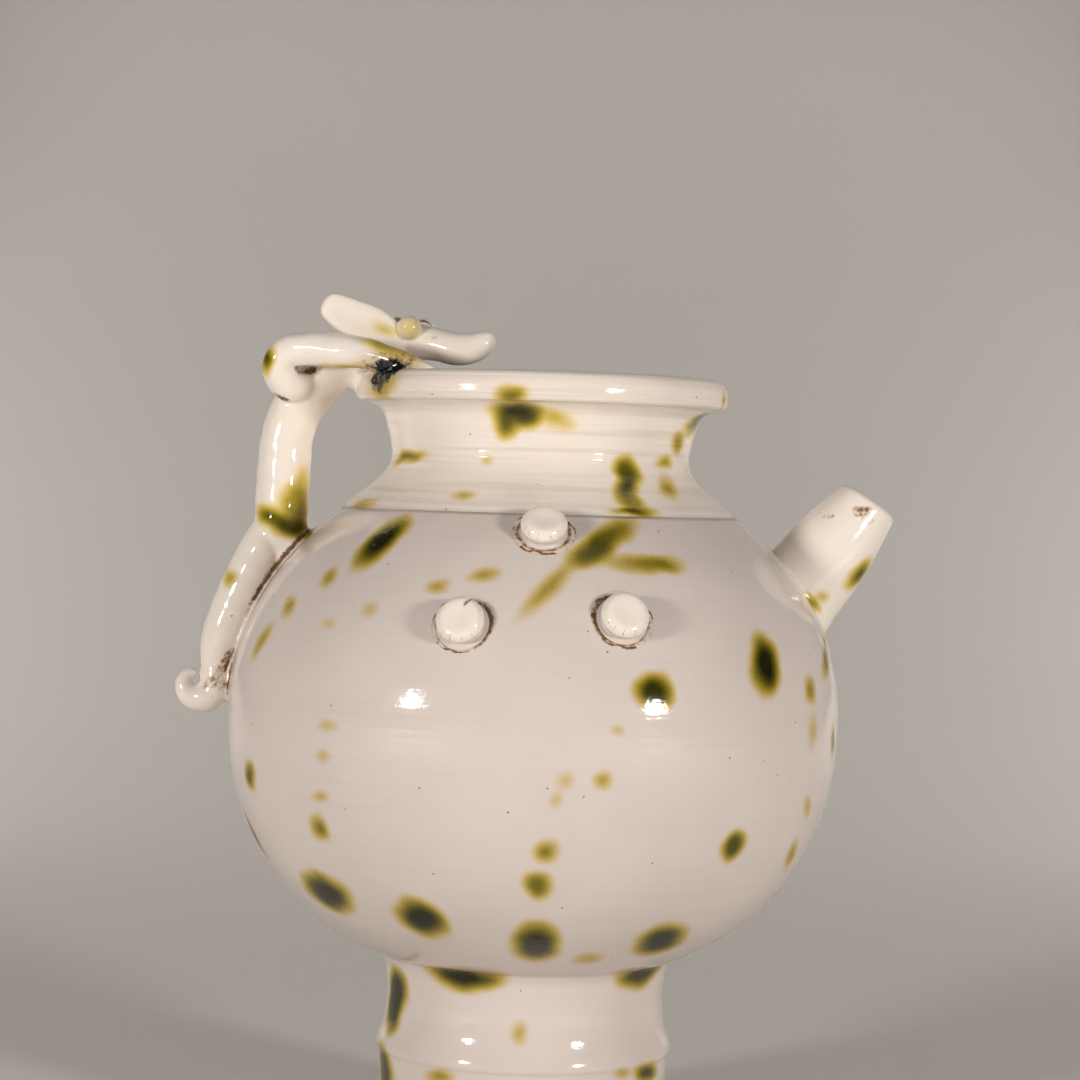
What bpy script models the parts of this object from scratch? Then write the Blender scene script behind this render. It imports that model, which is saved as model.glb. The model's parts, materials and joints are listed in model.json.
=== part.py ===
"""A white-glazed porcelain jar with a short spout and a dragon handle, all one fired piece.

The body, the spool-shaped foot and the neck with its rolled rim are turned shapes about the Z axis.
Onto them the potter luted a tapered spout, six clay buttons and a dragon made of rolls of clay: a
haunch that lies down the belly and ends in a curled tail, a back that rises as the grip, two forelegs
that hold the rim, and a long head that looks over the mouth. The spout is a solid of its own, so that
its bore stays open; it meets the belly with a hair's gap, where the real one was luted on.

Metres, +Z up. The origin is on the jar's own axis, on the surface that the foot stands on. The spout
points along +X and the dragon is on the -X side. The side with -Y is the front.
"""

import math

import bmesh
import bpy
import numpy as np
from mathutils import Matrix, Vector

MM = 0.001
SEGMENTS = 42

# Foot: a spool with one crisp ridge, open below
FOOT_RING_RADIUS = 49.5 * MM
FOOT_RING_HEIGHT = 5.0 * MM
FOOT_RING_WIDTH = 6.6 * MM
FOOT_LOWER_RADIUS = 43.4 * MM
FOOT_RIDGE_RADIUS = 44.2 * MM
FOOT_RIDGE_Z = 32.2 * MM
FOOT_WAIST_RADIUS = 41.3 * MM
FOOT_WAIST_Z = 47.4 * MM
FOOT_TOP_RADIUS = 43.2 * MM
FOOT_WALL = 5.8 * MM

# Belly: a superellipse turned about the axis, flatter below than above
BELLY_RADIUS = 91.3 * MM
BELLY_UNDERSIDE_Z = 52.5 * MM
BELLY_DROP = 82.5 * MM
BELLY_RISE = 78.6 * MM
BELLY_LOWER_POWER = 2.37
BELLY_UPPER_POWER = 1.81
WALL = 5.0 * MM

# Neck and rolled rim
SHOULDER_RIDGE_RADIUS = 56.9 * MM
SHOULDER_STEP = 0.6 * MM
SHOULDER_STEP_WIDTH = 1.7 * MM
NECK_RADIUS = 44.5 * MM
NECK_WAIST_ABOVE_SHOULDER = 13.6 * MM
NECK_HEIGHT = 38.9 * MM
RIM_RADIUS = 55.6 * MM
RIM_DEPTH = 8.6 * MM
RIM_WIDTH = 9.0 * MM

# Spout: a tapered tube
SPOUT_BASE_Z = 170.5 * MM
SPOUT_RISE_DEG = 52.8
SPOUT_LENGTH = 34.2 * MM
SPOUT_BASE_RADIUS = 13.7 * MM
SPOUT_TIP_RADIUS = 9.1 * MM
SPOUT_TIP_BORE = 4.9 * MM
SPOUT_BASE_BORE = 7.6 * MM
SPOUT_SIDES = 20

# Buttons of clay pressed onto the belly: azimuth from +X in degrees, and height
BUTTON_RADIUS = 6.8 * MM
BUTTON_HEIGHT = 5.6 * MM
BUTTON_SIDES = 12
FRONT_BUTTONS = ((-88.6, 186.4 * MM), (-103.6, 161.0 * MM), (-73.4, 163.4 * MM))
BACK_BUTTONS = ((90.0, 186.4 * MM), (105.0, 162.2 * MM), (75.0, 162.2 * MM))

# Dragon: rolls of clay
GRIP_RADIUS = 7.9 * MM
GRIP_REACH = 20.6 * MM
HAUNCH_RADIUS = 6.4 * MM
HIP_GAP = 8.6 * MM
HAUNCH_LENGTH = 48.5 * MM
TAIL_CURL_RADIUS = 6.2 * MM
TAIL_EYE_RADIUS = 2.3 * MM
TAIL_ROOT_RADIUS = 4.6 * MM
TAIL_TIP_RADIUS = 1.1 * MM
EYE_RADIUS = 3.6 * MM
EYE_SPACING = 11.6 * MM
HEAD_TURN_DEG = 20.0
ROLL_SIDES = 11

# How far luted clay is pressed into the wall, and the gap between solids that only touch
PRESS = 2.0 * MM
TOUCH_GAP = 0.3 * MM


def belly_level():
    """Height of the belly's widest circle."""
    return BELLY_UNDERSIDE_Z + BELLY_DROP


def belly_point(turn, inset=0.0):
    """(radius, height) on the belly's outline: turn is -90 at its underside, 0 at its widest and 90 at its top."""
    lower = turn < 0
    power = BELLY_LOWER_POWER if lower else BELLY_UPPER_POWER
    half_height = (BELLY_DROP if lower else BELLY_RISE) - inset
    angle = math.radians(turn)
    out = max(math.cos(angle), 0.0) ** (2 / power)
    up = math.copysign(abs(math.sin(angle)) ** (2 / power), turn)
    return ((BELLY_RADIUS - inset) * out, belly_level() + half_height * up)


def belly_turn(radius, upper, inset=0.0):
    """The turn at which the belly's outline has this radius."""
    power = BELLY_UPPER_POWER if upper else BELLY_LOWER_POWER
    share = min(radius / (BELLY_RADIUS - inset), 1.0)
    angle = math.degrees(math.acos(share ** (power / 2)))
    return angle if upper else -angle


def belly_radius(z):
    """The belly's radius at a height."""
    rise = z - belly_level()
    power = BELLY_UPPER_POWER if rise > 0 else BELLY_LOWER_POWER
    share = abs(rise) / (BELLY_RISE if rise > 0 else BELLY_DROP)
    return BELLY_RADIUS * max(1 - share**power, 0.0) ** (1 / power)


def belly_normal(z):
    """(outward, upward) unit normal of the belly's outline at a height."""
    step = 0.2 * MM
    slope = (belly_radius(z + step) - belly_radius(z - step)) / (2 * step)
    length = math.hypot(1.0, slope)
    return 1.0 / length, -slope / length


def shoulder_z():
    """Height of the ridge between neck and belly."""
    return belly_point(belly_turn(SHOULDER_RIDGE_RADIUS, upper=True))[1]


def mouth_z():
    """Height of the rim's flat top."""
    return shoulder_z() + NECK_HEIGHT


def bend(start, control, end, steps):
    """A quadratic curve from start to end, pulled towards control; the start point is left out."""
    points = []
    for i in range(1, steps + 1):
        t = i / steps
        weights = ((1 - t) ** 2, 2 * t * (1 - t), t * t)
        points.append(tuple(sum(w * p[k] for w, p in zip(weights, (start, control, end))) for k in (0, 1)))
    return points


def foot_outline():
    """The outer side of the foot, from the belly down to the flat standing ring."""
    top = belly_point(belly_turn(FOOT_TOP_RADIUS, upper=False))
    waist = (FOOT_WAIST_RADIUS, FOOT_WAIST_Z)
    ridge = (FOOT_RIDGE_RADIUS, FOOT_RIDGE_Z)
    under_ridge = (FOOT_LOWER_RADIUS, FOOT_RIDGE_Z - 1.2 * MM)
    flare = (FOOT_RING_RADIUS - 1.0 * MM, FOOT_RING_HEIGHT)
    edge = 0.8 * MM
    points = [top]
    points += bend(top, (FOOT_WAIST_RADIUS, (top[1] + FOOT_WAIST_Z) / 2), waist, 3)
    points += bend(waist, (FOOT_WAIST_RADIUS, (FOOT_WAIST_Z + FOOT_RIDGE_Z) / 2), ridge, 3)
    points += [under_ridge]
    points += bend(under_ridge, (FOOT_LOWER_RADIUS - 1.4 * MM, (FOOT_RIDGE_Z + FOOT_RING_HEIGHT) / 2), flare, 4)
    points += [(FOOT_RING_RADIUS, FOOT_RING_HEIGHT - edge), (FOOT_RING_RADIUS, edge)]
    points += [(FOOT_RING_RADIUS - edge, 0.0)]
    return points


def foot_hollow_outline():
    """The inner side of the foot, from the standing ring up to the belly's underside on the axis."""
    inner = FOOT_WAIST_RADIUS - FOOT_WALL
    ceiling = BELLY_UNDERSIDE_Z - 0.3 * MM
    ring = (FOOT_RING_RADIUS - FOOT_RING_WIDTH, 0.0)
    wall_foot = (FOOT_LOWER_RADIUS - FOOT_WALL, FOOT_RIDGE_Z * 0.5)
    wall_top = (inner, ceiling - 6.0 * MM)
    corner = (inner - 6.0 * MM, ceiling)
    return [ring, wall_foot, wall_top, *bend(wall_top, (inner, ceiling), corner, 2), (0.0, ceiling)]


def rim_outline():
    """The rolled rim, from the neck's inner wall over the flat top to the undercut below."""
    top = mouth_z()
    inner = RIM_RADIUS - RIM_WIDTH
    shelf = (NECK_RADIUS + 4.4 * MM, top - RIM_DEPTH - 1.4 * MM)
    belt = (RIM_RADIUS, top - RIM_DEPTH * 0.48)
    chin = (RIM_RADIUS - 2.2 * MM, top - RIM_DEPTH)
    shoulder = (RIM_RADIUS - 3.4 * MM, top)
    points = [(inner, top - 1.6 * MM), (inner + 1.8 * MM, top), shoulder]
    points += bend(shoulder, (RIM_RADIUS - 0.2 * MM, top - 0.2 * MM), belt, 3)
    points += bend(belt, (RIM_RADIUS, top - RIM_DEPTH * 0.86), chin, 2)
    return points + [shelf]


def neck_outline(shelf):
    """The outer side of the neck, from under the rim to the ridge on the shoulder."""
    waist = (NECK_RADIUS, shoulder_z() + NECK_WAIST_ABOVE_SHOULDER)
    ridge = (SHOULDER_RIDGE_RADIUS, shoulder_z() + SHOULDER_STEP)
    points = bend(shelf, (NECK_RADIUS, (shelf[1] + waist[1]) / 2), waist, 4)
    points += bend(waist, (NECK_RADIUS, shoulder_z() + NECK_WAIST_ABOVE_SHOULDER * 0.66), ridge, 4)
    return points


def belly_outline():
    """The outer side of the belly, from below the shoulder ridge to the foot."""
    start = belly_turn(SHOULDER_RIDGE_RADIUS + SHOULDER_STEP_WIDTH, upper=True)
    end = belly_turn(FOOT_TOP_RADIUS, upper=False)
    return [belly_point(turn) for turn in np.linspace(start, end, 18)[:-1]]


def inside_outline(inset):
    """The inner side of the wall, from the floor on the axis up to the neck; inset is its depth in the wall."""
    neck = NECK_RADIUS - inset
    start = belly_turn(neck + 4.0 * MM, upper=True, inset=inset)
    points = [(0.0, BELLY_UNDERSIDE_Z + inset)]
    points += [belly_point(turn, inset) for turn in np.linspace(-76, start, 9)]
    waist_z = shoulder_z() + NECK_WAIST_ABOVE_SHOULDER
    last = points[-1]
    points += bend(last, (neck, (last[1] + shoulder_z()) / 2), (neck, waist_z), 2)
    return points


def turned(name, profile, segments=SEGMENTS):
    """A closed solid of revolution about its own Z axis; the profile starts and ends on the axis."""
    mesh = bpy.data.meshes.new(name)
    shape = bmesh.new()
    corners = [shape.verts.new((r, 0.0, z)) for r, z in profile]
    sides = [shape.edges.new(pair) for pair in zip(corners, corners[1:])]
    bmesh.ops.spin(
        shape, geom=corners + sides, cent=(0, 0, 0), axis=(0, 0, 1), angle=2 * math.pi, steps=segments
    )
    bmesh.ops.remove_doubles(shape, verts=shape.verts, dist=0.001 * MM)
    bmesh.ops.recalc_face_normals(shape, faces=shape.faces)
    shape.to_mesh(mesh)
    shape.free()
    return shown(name, mesh)


def shown(name, mesh):
    """The mesh as a smooth-shaded object in the scene."""
    mesh.shade_smooth()
    mesh.set_sharp_from_angle(angle=math.radians(35))
    thing = bpy.data.objects.new(name, mesh)
    bpy.context.scene.collection.objects.link(thing)
    return thing


def through(rows, steps):
    """Rows of numbers read from a smooth curve that passes through all the given rows."""
    rows = np.array([rows[0], *rows, rows[-1]], float)
    spans = len(rows) - 3
    found = []
    for place in np.linspace(0, spans, steps):
        i = min(int(place), spans - 1)
        t = place - i
        a, b, c, d = rows[i : i + 4]
        found.append(0.5 * (2 * b + (c - a) * t + (2 * a - 5 * b + 4 * c - d) * t**2 + (3 * b - a - 3 * c + d) * t**3))
    return np.array(found)


def roll(name, rows, steps, sides=ROLL_SIDES, width=1.0):
    """A roll of clay along rows of (x, y, z, radius), with round ends; width stretches it along Y."""
    path = through(rows, steps)
    centres = path[:, :3]
    ahead = np.gradient(centres, axis=0)
    mesh = bpy.data.meshes.new(name)
    shape = bmesh.new()
    rings = []
    for centre, forward, radius in zip(centres, ahead, path[:, 3]):
        forward = Vector(forward).normalized()
        across = Vector((0, 1, 0))
        across = (across - across.dot(forward) * forward).normalized()
        up = forward.cross(across)
        ring = []
        for i in range(sides):
            angle = 2 * math.pi * i / sides
            offset = across * (math.cos(angle) * radius * width) + up * (math.sin(angle) * radius)
            ring.append(shape.verts.new(Vector(centre) + offset))
        rings.append(ring)
    for ring, after in zip(rings, rings[1:]):
        for i in range(sides):
            j = (i + 1) % sides
            shape.faces.new((ring[i], ring[j], after[j], after[i]))
    for ring, centre, forward, radius in (
        (rings[0], centres[0], -ahead[0], path[0, 3]),
        (rings[-1], centres[-1], ahead[-1], path[-1, 3]),
    ):
        pole = shape.verts.new(Vector(centre) + Vector(forward).normalized() * radius * 0.55)
        for i in range(sides):
            shape.faces.new((ring[i], ring[(i + 1) % sides], pole))
    bmesh.ops.recalc_face_normals(shape, faces=shape.faces)
    shape.to_mesh(mesh)
    shape.free()
    return shown(name, mesh)


def ball(name, centre, radius):
    """A ball of clay."""
    mesh = bpy.data.meshes.new(name)
    shape = bmesh.new()
    bmesh.ops.create_icosphere(shape, subdivisions=2, radius=radius, matrix=Matrix.Translation(centre))
    shape.to_mesh(mesh)
    shape.free()
    return shown(name, mesh)


def jar_body():
    """Foot, belly, neck and rim as one turned wall, open at the mouth and hollow under the foot."""
    rim = rim_outline()
    profile = inside_outline(WALL) + rim + neck_outline(rim[-1]) + belly_outline()
    profile += foot_outline() + foot_hollow_outline()
    return turned("porcelain_jar", profile)


def belly_envelope():
    """The whole belly and a hair's gap around it, as a cutter."""
    profile = [belly_point(turn, -TOUCH_GAP) for turn in np.linspace(-60, 75, 22)]
    return turned("belly_envelope", [(0.0, profile[0][1]), *profile, (0.0, profile[-1][1])])


def spout_matrix():
    """Puts a part made along Z onto the spout's axis, its base where that axis meets the belly."""
    base = Vector((belly_radius(SPOUT_BASE_Z), 0.0, SPOUT_BASE_Z))
    return Matrix.Translation(base) @ Matrix.Rotation(math.radians(90 - SPOUT_RISE_DEG), 4, "Y")


def spout(bore):
    """The spout: slightly barrelled outside, bored through, and trimmed to the belly's curve."""
    lip = 1.6 * MM
    buried = -9.0 * MM
    middle = (SPOUT_BASE_RADIUS * 0.45 + SPOUT_TIP_RADIUS * 0.55 + 0.7 * MM, SPOUT_LENGTH * 0.5)
    profile = [(0.0, buried), (SPOUT_BASE_RADIUS + 1.4 * MM, buried), (SPOUT_BASE_RADIUS, 3.0 * MM)]
    profile += bend(profile[-1], middle, (SPOUT_TIP_RADIUS, SPOUT_LENGTH - lip), 4)
    profile += [(SPOUT_TIP_RADIUS - lip * 0.6, SPOUT_LENGTH - lip * 0.2), (SPOUT_TIP_RADIUS - lip, SPOUT_LENGTH)]
    tube = turned("jar_spout", profile + [(0.0, SPOUT_LENGTH)], SPOUT_SIDES)
    tube.matrix_world = spout_matrix()
    combine(tube, belly_envelope(), "DIFFERENCE")
    combine(tube, bore, "DIFFERENCE")
    return tube


def spout_bore():
    """The tapered hole from the spout's tip through the belly's wall."""
    reach = 17.0 * MM
    beyond = 3.0 * MM
    taper = (SPOUT_BASE_BORE - SPOUT_TIP_BORE) / SPOUT_LENGTH
    inner = SPOUT_BASE_BORE + taper * reach
    outer = SPOUT_TIP_BORE - taper * beyond
    top = SPOUT_LENGTH + beyond
    hole = turned("spout_bore", [(0.0, -reach), (inner, -reach), (outer, top), (0.0, top)], SPOUT_SIDES)
    hole.matrix_world = spout_matrix()
    return hole


def button(name, azimuth, z):
    """A button of clay with a rounded edge, pressed square onto the belly."""
    height = BUTTON_HEIGHT
    profile = [(0.0, -PRESS), (BUTTON_RADIUS * 0.92, -PRESS), (BUTTON_RADIUS, height * 0.5)]
    profile += [(BUTTON_RADIUS * 0.97, height * 0.78), (BUTTON_RADIUS * 0.78, height * 0.97)]
    disc = turned(name, profile + [(0.0, height)], BUTTON_SIDES)
    outward, upward = belly_normal(z)
    tilt = math.atan2(outward, upward)
    place = Matrix.Rotation(math.radians(azimuth), 4, "Z") @ Matrix.Translation((belly_radius(z), 0.0, z))
    disc.matrix_world = place @ Matrix.Rotation(tilt, 4, "Y")
    return disc


def from_lip(x, y, z, radius):
    """A row of a roll, in millimetres from the rim's outer edge on the dragon's side."""
    return (x * MM - RIM_RADIUS, y * MM, mouth_z() + z * MM, radius * MM)


def beside_belly(z, gap, radius):
    """A row of a roll whose centre is a gap away from the belly on the dragon's side."""
    return (-(belly_radius(z) + gap * MM), 0.0, z, radius)


def hip_z():
    """Height of the dragon's hip, where the belly comes within the hip's gap of the grip."""
    return belly_point(belly_turn(RIM_RADIUS + GRIP_REACH - HIP_GAP, upper=True))[1]


def dragon_back():
    """The grip: from the belly up beside the neck, over in a bend and onto the rim."""
    hip = hip_z()
    grip_x = -(RIM_RADIUS + GRIP_REACH)
    span = mouth_z() - hip
    rows = [
        beside_belly(hip - 6.0 * MM, 0.6, GRIP_RADIUS * 0.74),
        (grip_x - 0.6 * MM, 0.0, hip + 0.6 * MM, GRIP_RADIUS * 0.96),
        (grip_x - 0.8 * MM, 0.0, hip + 6.4 * MM, GRIP_RADIUS),
        (grip_x - 0.4 * MM, 0.0, hip + span * 0.36, GRIP_RADIUS),
        (grip_x + 0.2 * MM, 0.0, hip + span * 0.58, GRIP_RADIUS),
        (grip_x + 2.6 * MM, 0.0, mouth_z() - 12.4 * MM, GRIP_RADIUS * 0.98),
        (grip_x + 7.0 * MM, 0.0, mouth_z() - 6.7 * MM, GRIP_RADIUS * 0.9),
        from_lip(-8.5, 0, -2.3, 6.1),
        from_lip(-2.3, 0, 0.1, 5.0),
        from_lip(3.5, 0, 0.4, 4.0),
    ]
    return roll("dragon_back", rows, 18)


def dragon_haunch():
    """The roll that lies down the belly from the hip and thins to the tail's root."""
    hip = hip_z()
    shares_gaps_radii = (
        (-0.08, 11.8, 0.80), (0.04, 11.4, 0.97), (0.18, 9.2, 1.0), (0.42, 7.0, 1.0),
        (0.66, 6.1, 0.95), (0.84, 5.3, 0.66), (0.96, 4.6, 0.64),
    )
    rows = [
        beside_belly(hip - HAUNCH_LENGTH * share, gap, HAUNCH_RADIUS * radius)
        for share, gap, radius in shares_gaps_radii
    ]
    return roll("dragon_haunch", rows, 15)


def haunch_slip():
    """The wedge of slip that lutes the haunch to the belly."""
    hip = hip_z()
    rows = [
        beside_belly(hip - HAUNCH_LENGTH * share, gap, radius * MM)
        for share, gap, radius in ((-0.04, 3.6, 3.4), (0.2, 2.4, 3.2), (0.6, 1.4, 3.2), (1.0, 1.0, 3.2))
    ]
    return roll("haunch_slip", rows, 9)


def dragon_tail():
    """The tail: a spiral that starts in the haunch's end and curls away from the belly."""
    hip = hip_z()
    centre_z = hip - HAUNCH_LENGTH + 2.9 * MM
    centre_x = -(belly_radius(centre_z) + 3.7 * MM + TAIL_CURL_RADIUS)
    rows = []
    for share in np.linspace(0, 1, 12):
        angle = math.radians(12 - 254 * share)
        reach = TAIL_CURL_RADIUS + (TAIL_EYE_RADIUS - TAIL_CURL_RADIUS) * share**1.8
        radius = TAIL_ROOT_RADIUS + (TAIL_TIP_RADIUS - TAIL_ROOT_RADIUS) * (max(share - 0.3, 0) / 0.7) ** 0.9
        rows.append((centre_x + reach * math.cos(angle), 0.0, centre_z + reach * math.sin(angle), radius))
    return roll("dragon_tail", rows, 16)


def dragon_foreleg(name, side):
    """One foreleg: from the shoulder back to the elbow, then forward and down onto the rim."""
    rows = [
        from_lip(-15.0, side * 4.0, -5.4, 4.3),
        from_lip(-20.0, side * 9.0, -5.0, 4.6),
        from_lip(-22.5, side * 12.0, 0.2, 4.7),
        from_lip(-20.2, side * 13.0, 4.4, 4.7),
        from_lip(-14.8, side * 14.0, 5.6, 4.8),
        from_lip(-5.7, side * 17.0, 5.5, 5.0),
        from_lip(2.5, side * 21.0, 4.8, 4.8),
        from_lip(10.0, side * 25.0, 3.1, 4.1),
        from_lip(16.9, side * 28.0, 1.6, 2.9),
        from_lip(22.6, side * 30.0, -0.1, 1.5),
    ]
    return roll(name, rows, 18, sides=10)


def head_frame():
    """The middle of the skull, with the head's own forward along +X."""
    middle = Vector((17.4 * MM - RIM_RADIUS, -0.2 * MM, mouth_z() + 10.2 * MM))
    return Matrix.Translation(middle) @ Matrix.Rotation(-math.radians(HEAD_TURN_DEG), 4, "Z")


def dragon_head():
    """Neck and head: out of the back's bend, over the skull and along the bill to its turned-up tip."""
    ahead = ((-4.0, -0.8, 5.1), (1.5, -0.9, 5.2), (7.0, -1.7, 4.9), (12.5, -2.7, 4.7),
             (17.0, -2.6, 4.7), (20.6, -1.3, 3.9), (22.6, -0.2, 2.7))
    bill = [
        (*(head_frame() @ Vector((forward * MM, 0.0, up * MM))), radius * MM)
        for forward, up, radius in ahead
    ]
    nape = [from_lip(-14.4, 0, -6.0, 6.5), from_lip(-6.0, 0, 1.8, 6.6), from_lip(2.8, 0, 6.6, 6.0)]
    return roll("dragon_head", nape + bill, 20, width=1.06)


def dragon_ear(name, side):
    """A leaf-shaped ear that lies back from the skull."""
    rows = [
        from_lip(12.5, side * 3.8, 10.0, 3.0),
        from_lip(8.0, side * 5.4, 12.3, 4.3),
        from_lip(2.8, side * 7.2, 15.0, 4.8),
        from_lip(-2.2, side * 8.6, 16.7, 4.8),
        from_lip(-7.4, side * 9.8, 19.1, 3.3),
    ]
    return roll(name, rows, 8, sides=10, width=0.42)


def dragon_eye(name, side):
    """A ball on the side of the skull."""
    place = head_frame() @ Vector((0.0, side * EYE_SPACING / 2, 3.1 * MM))
    return ball(name, place, EYE_RADIUS)


def combine(target, tool, operation):
    """Joins tool to target, or cuts it away, and keeps tool itself out of the picture."""
    change = target.modifiers.new(tool.name, "BOOLEAN")
    change.operation = operation
    change.solver = "EXACT"
    change.object = tool
    tool.hide_render = True
    tool.display_type = "WIRE"


def white_glaze():
    """Glossy ivory-white glaze."""
    material = bpy.data.materials.new("white_glaze")
    material.use_nodes = True
    surface = material.node_tree.nodes["Principled BSDF"]
    surface.inputs["Base Color"].default_value = (0.66, 0.60, 0.53, 1.0)
    surface.inputs["Roughness"].default_value = 0.12
    surface.inputs["Metallic"].default_value = 0.0
    return material


def main():
    for thing in list(bpy.data.objects):
        bpy.data.objects.remove(thing)
    jar = jar_body()
    clay = [dragon_back(), dragon_haunch(), haunch_slip(), dragon_tail(), dragon_head()]
    for name, side in (("near", -1), ("far", 1)):
        clay += [
            dragon_foreleg(f"foreleg_{name}", side),
            dragon_ear(f"ear_{name}", side),
            dragon_eye(f"eye_{name}", side),
        ]
    for number, (azimuth, z) in enumerate(FRONT_BUTTONS + BACK_BUTTONS, 1):
        clay.append(button(f"button_{number}", azimuth, z))
    for piece in clay:
        combine(jar, piece, "UNION")
    bore = spout_bore()
    combine(jar, bore, "DIFFERENCE")
    glaze = white_glaze()
    for piece in (jar, spout(bore)):
        piece.data.materials.append(glaze)


main()
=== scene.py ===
# %% [markdown]
# # A glazed porcelain jar with a dragon handle
#
# The real jar was thrown on a wheel in white clay, and the handle, spout and buttons were rolled and
# pressed by hand and luted on with slip. It was splashed with a green glaze, coated in a clear one and
# fired once. This lesson makes it in the same order: the turned body, the clay that was added by hand,
# the glaze, and then the studio. Everything is in metres, on the CAD model's own frame: +Z is up, +X
# points to the spout, -X to the dragon, and -Y is the front.

# %% Load the CAD model as a fixed frame
import json
import math

import bmesh
import bpy
import numpy as np
from mathutils import Matrix, Vector

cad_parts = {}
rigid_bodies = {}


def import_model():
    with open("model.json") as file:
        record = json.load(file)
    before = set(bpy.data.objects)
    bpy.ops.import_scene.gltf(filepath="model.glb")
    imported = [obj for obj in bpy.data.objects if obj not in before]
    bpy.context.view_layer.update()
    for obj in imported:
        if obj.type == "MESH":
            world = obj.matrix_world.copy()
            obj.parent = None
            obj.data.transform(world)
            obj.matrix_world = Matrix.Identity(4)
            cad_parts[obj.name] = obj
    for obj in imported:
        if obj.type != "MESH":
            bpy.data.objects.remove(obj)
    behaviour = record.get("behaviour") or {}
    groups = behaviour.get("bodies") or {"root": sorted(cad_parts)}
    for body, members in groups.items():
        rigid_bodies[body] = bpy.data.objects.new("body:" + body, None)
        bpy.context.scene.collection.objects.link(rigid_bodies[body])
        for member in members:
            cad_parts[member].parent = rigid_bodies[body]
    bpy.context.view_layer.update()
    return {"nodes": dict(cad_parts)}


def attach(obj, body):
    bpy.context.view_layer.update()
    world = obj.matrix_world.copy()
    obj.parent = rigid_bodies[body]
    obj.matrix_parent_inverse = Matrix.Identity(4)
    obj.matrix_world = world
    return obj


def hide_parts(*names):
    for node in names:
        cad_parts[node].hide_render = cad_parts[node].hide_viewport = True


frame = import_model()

MM = 0.001
print("CAD solids:", sorted(frame["nodes"]))

# %% [markdown]
# ## The jar's measures
#
# The belly is a superellipse turned about the axis: (r / R)^n + (h / H)^n = 1. A power n of 2 would be
# an ellipse; here the upper half is a little leaner than that and the lower half fuller. The foot, the
# neck and the rolled rim were thrown as free curves, so they are given as points that a smooth curve
# passes through. The values repeat those of the CAD source.

# %% Named sizes
BELLY_RADIUS = 91.3 * MM
BELLY_LEVEL = 135.0 * MM
BELLY_DROP, BELLY_LOWER_POWER = 82.5 * MM, 2.37
BELLY_RISE, BELLY_UPPER_POWER = 78.6 * MM, 1.81
WALL = 5.0 * MM
RIM_RADIUS = 55.6 * MM
MOUTH_Z = 231.8 * MM
HIP_Z = 183.7 * MM


def belly_radius(z, inset=0.0):
    """Radius at a height: r = R (1 - |h / H|^n)^(1/n), with R and H made smaller by the inset."""
    rise = np.asarray(z, float) - BELLY_LEVEL
    upper = rise > 0
    power = np.where(upper, BELLY_UPPER_POWER, BELLY_LOWER_POWER)
    reach = np.where(upper, BELLY_RISE, BELLY_DROP) - inset
    share = np.clip(np.abs(rise) / reach, 0, 1)
    return (BELLY_RADIUS - inset) * (1 - share**power) ** (1 / power)


def smooth_path(rows, count):
    """Catmull-Rom: between rows b and c the curve is a cubic whose slopes come from their neighbours."""
    rows = np.asarray(rows, float)
    padded = np.vstack([2 * rows[0] - rows[1], rows, 2 * rows[-1] - rows[-2]])
    place = np.linspace(0, len(rows) - 1, count)
    span = np.minimum(place.astype(int), len(rows) - 2)
    t = (place - span)[:, None]
    a, b, c, d = (padded[span + k] for k in range(4))
    return 0.5 * (2 * b + (c - a) * t + (2 * a - 5 * b + 4 * c - d) * t**2 + (3 * b - a - 3 * c + d) * t**3)


print(f"belly {2000 * BELLY_RADIUS:.1f} mm across, mouth at {1000 * MOUTH_Z:.1f} mm")

# %% [markdown]
# ## The turned body
#
# On the wheel the potter pulls up one wall, so the body is one profile carried round the axis. The
# profile runs up the inside from the floor, over the rolled rim, down the neck, over the crisp shoulder
# ridge and the belly, down the spool-shaped foot and back up inside it. Each stretch gets points in
# keeping with its detail: 0.3 mm apart at the ridges, a few millimetres on the plain belly. Spin or a
# Screw modifier could turn it too, but a grid worked out with numpy lets the wall waver a little, as
# hand-thrown walls do.

# %% The profile, in millimetres: radius, height
RIM = [(45.2, 217.5), (45.6, 222.0), (46.2, 226.5), (46.9, 229.8), (47.9, 231.4), (49.4, 231.9),
       (51.2, 231.9), (52.7, 231.75), (54.0, 231.1), (54.9, 229.9), (55.4, 228.2), (55.6, 226.5),
       (55.45, 224.9), (54.9, 223.7), (53.8, 223.15), (52.2, 223.0), (50.4, 222.4), (48.6, 221.2)]
NECK = [(47.4, 220.0), (46.7, 218.2), (45.9, 215.1), (45.3, 213.0), (44.8, 210.3), (44.5, 207.0),
        (45.3, 204.3), (47.0, 201.9), (49.9, 198.9), (53.0, 196.4), (55.4, 194.5), (56.4, 193.75)]
RIDGE = [(56.85, 193.35), (57.2, 192.9), (57.4, 192.4), (57.6, 191.9), (58.0, 191.35), (58.6, 190.85)]
FOOT = [(43.9, 58.9), (42.9, 57.2), (42.3, 55.6), (41.9, 53.4), (41.4, 49.6), (41.3, 46.2), (41.7, 41.4),
        (42.1, 39.0), (42.8, 36.6), (43.7, 34.2), (44.05, 32.9), (44.15, 31.9), (43.9, 30.9),
        (43.5, 30.0), (43.2, 27.0), (42.9, 22.8), (43.2, 18.6), (44.3, 13.8), (46.0, 9.2), (47.7, 6.1)]
RING = [(48.7, 5.2), (49.2, 4.3), (49.4, 3.0), (49.4, 1.4), (49.1, 0.5), (48.3, 0.05), (46.0, 0.0),
        (43.9, 0.1), (43.1, 0.6), (42.6, 1.6)]
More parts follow.
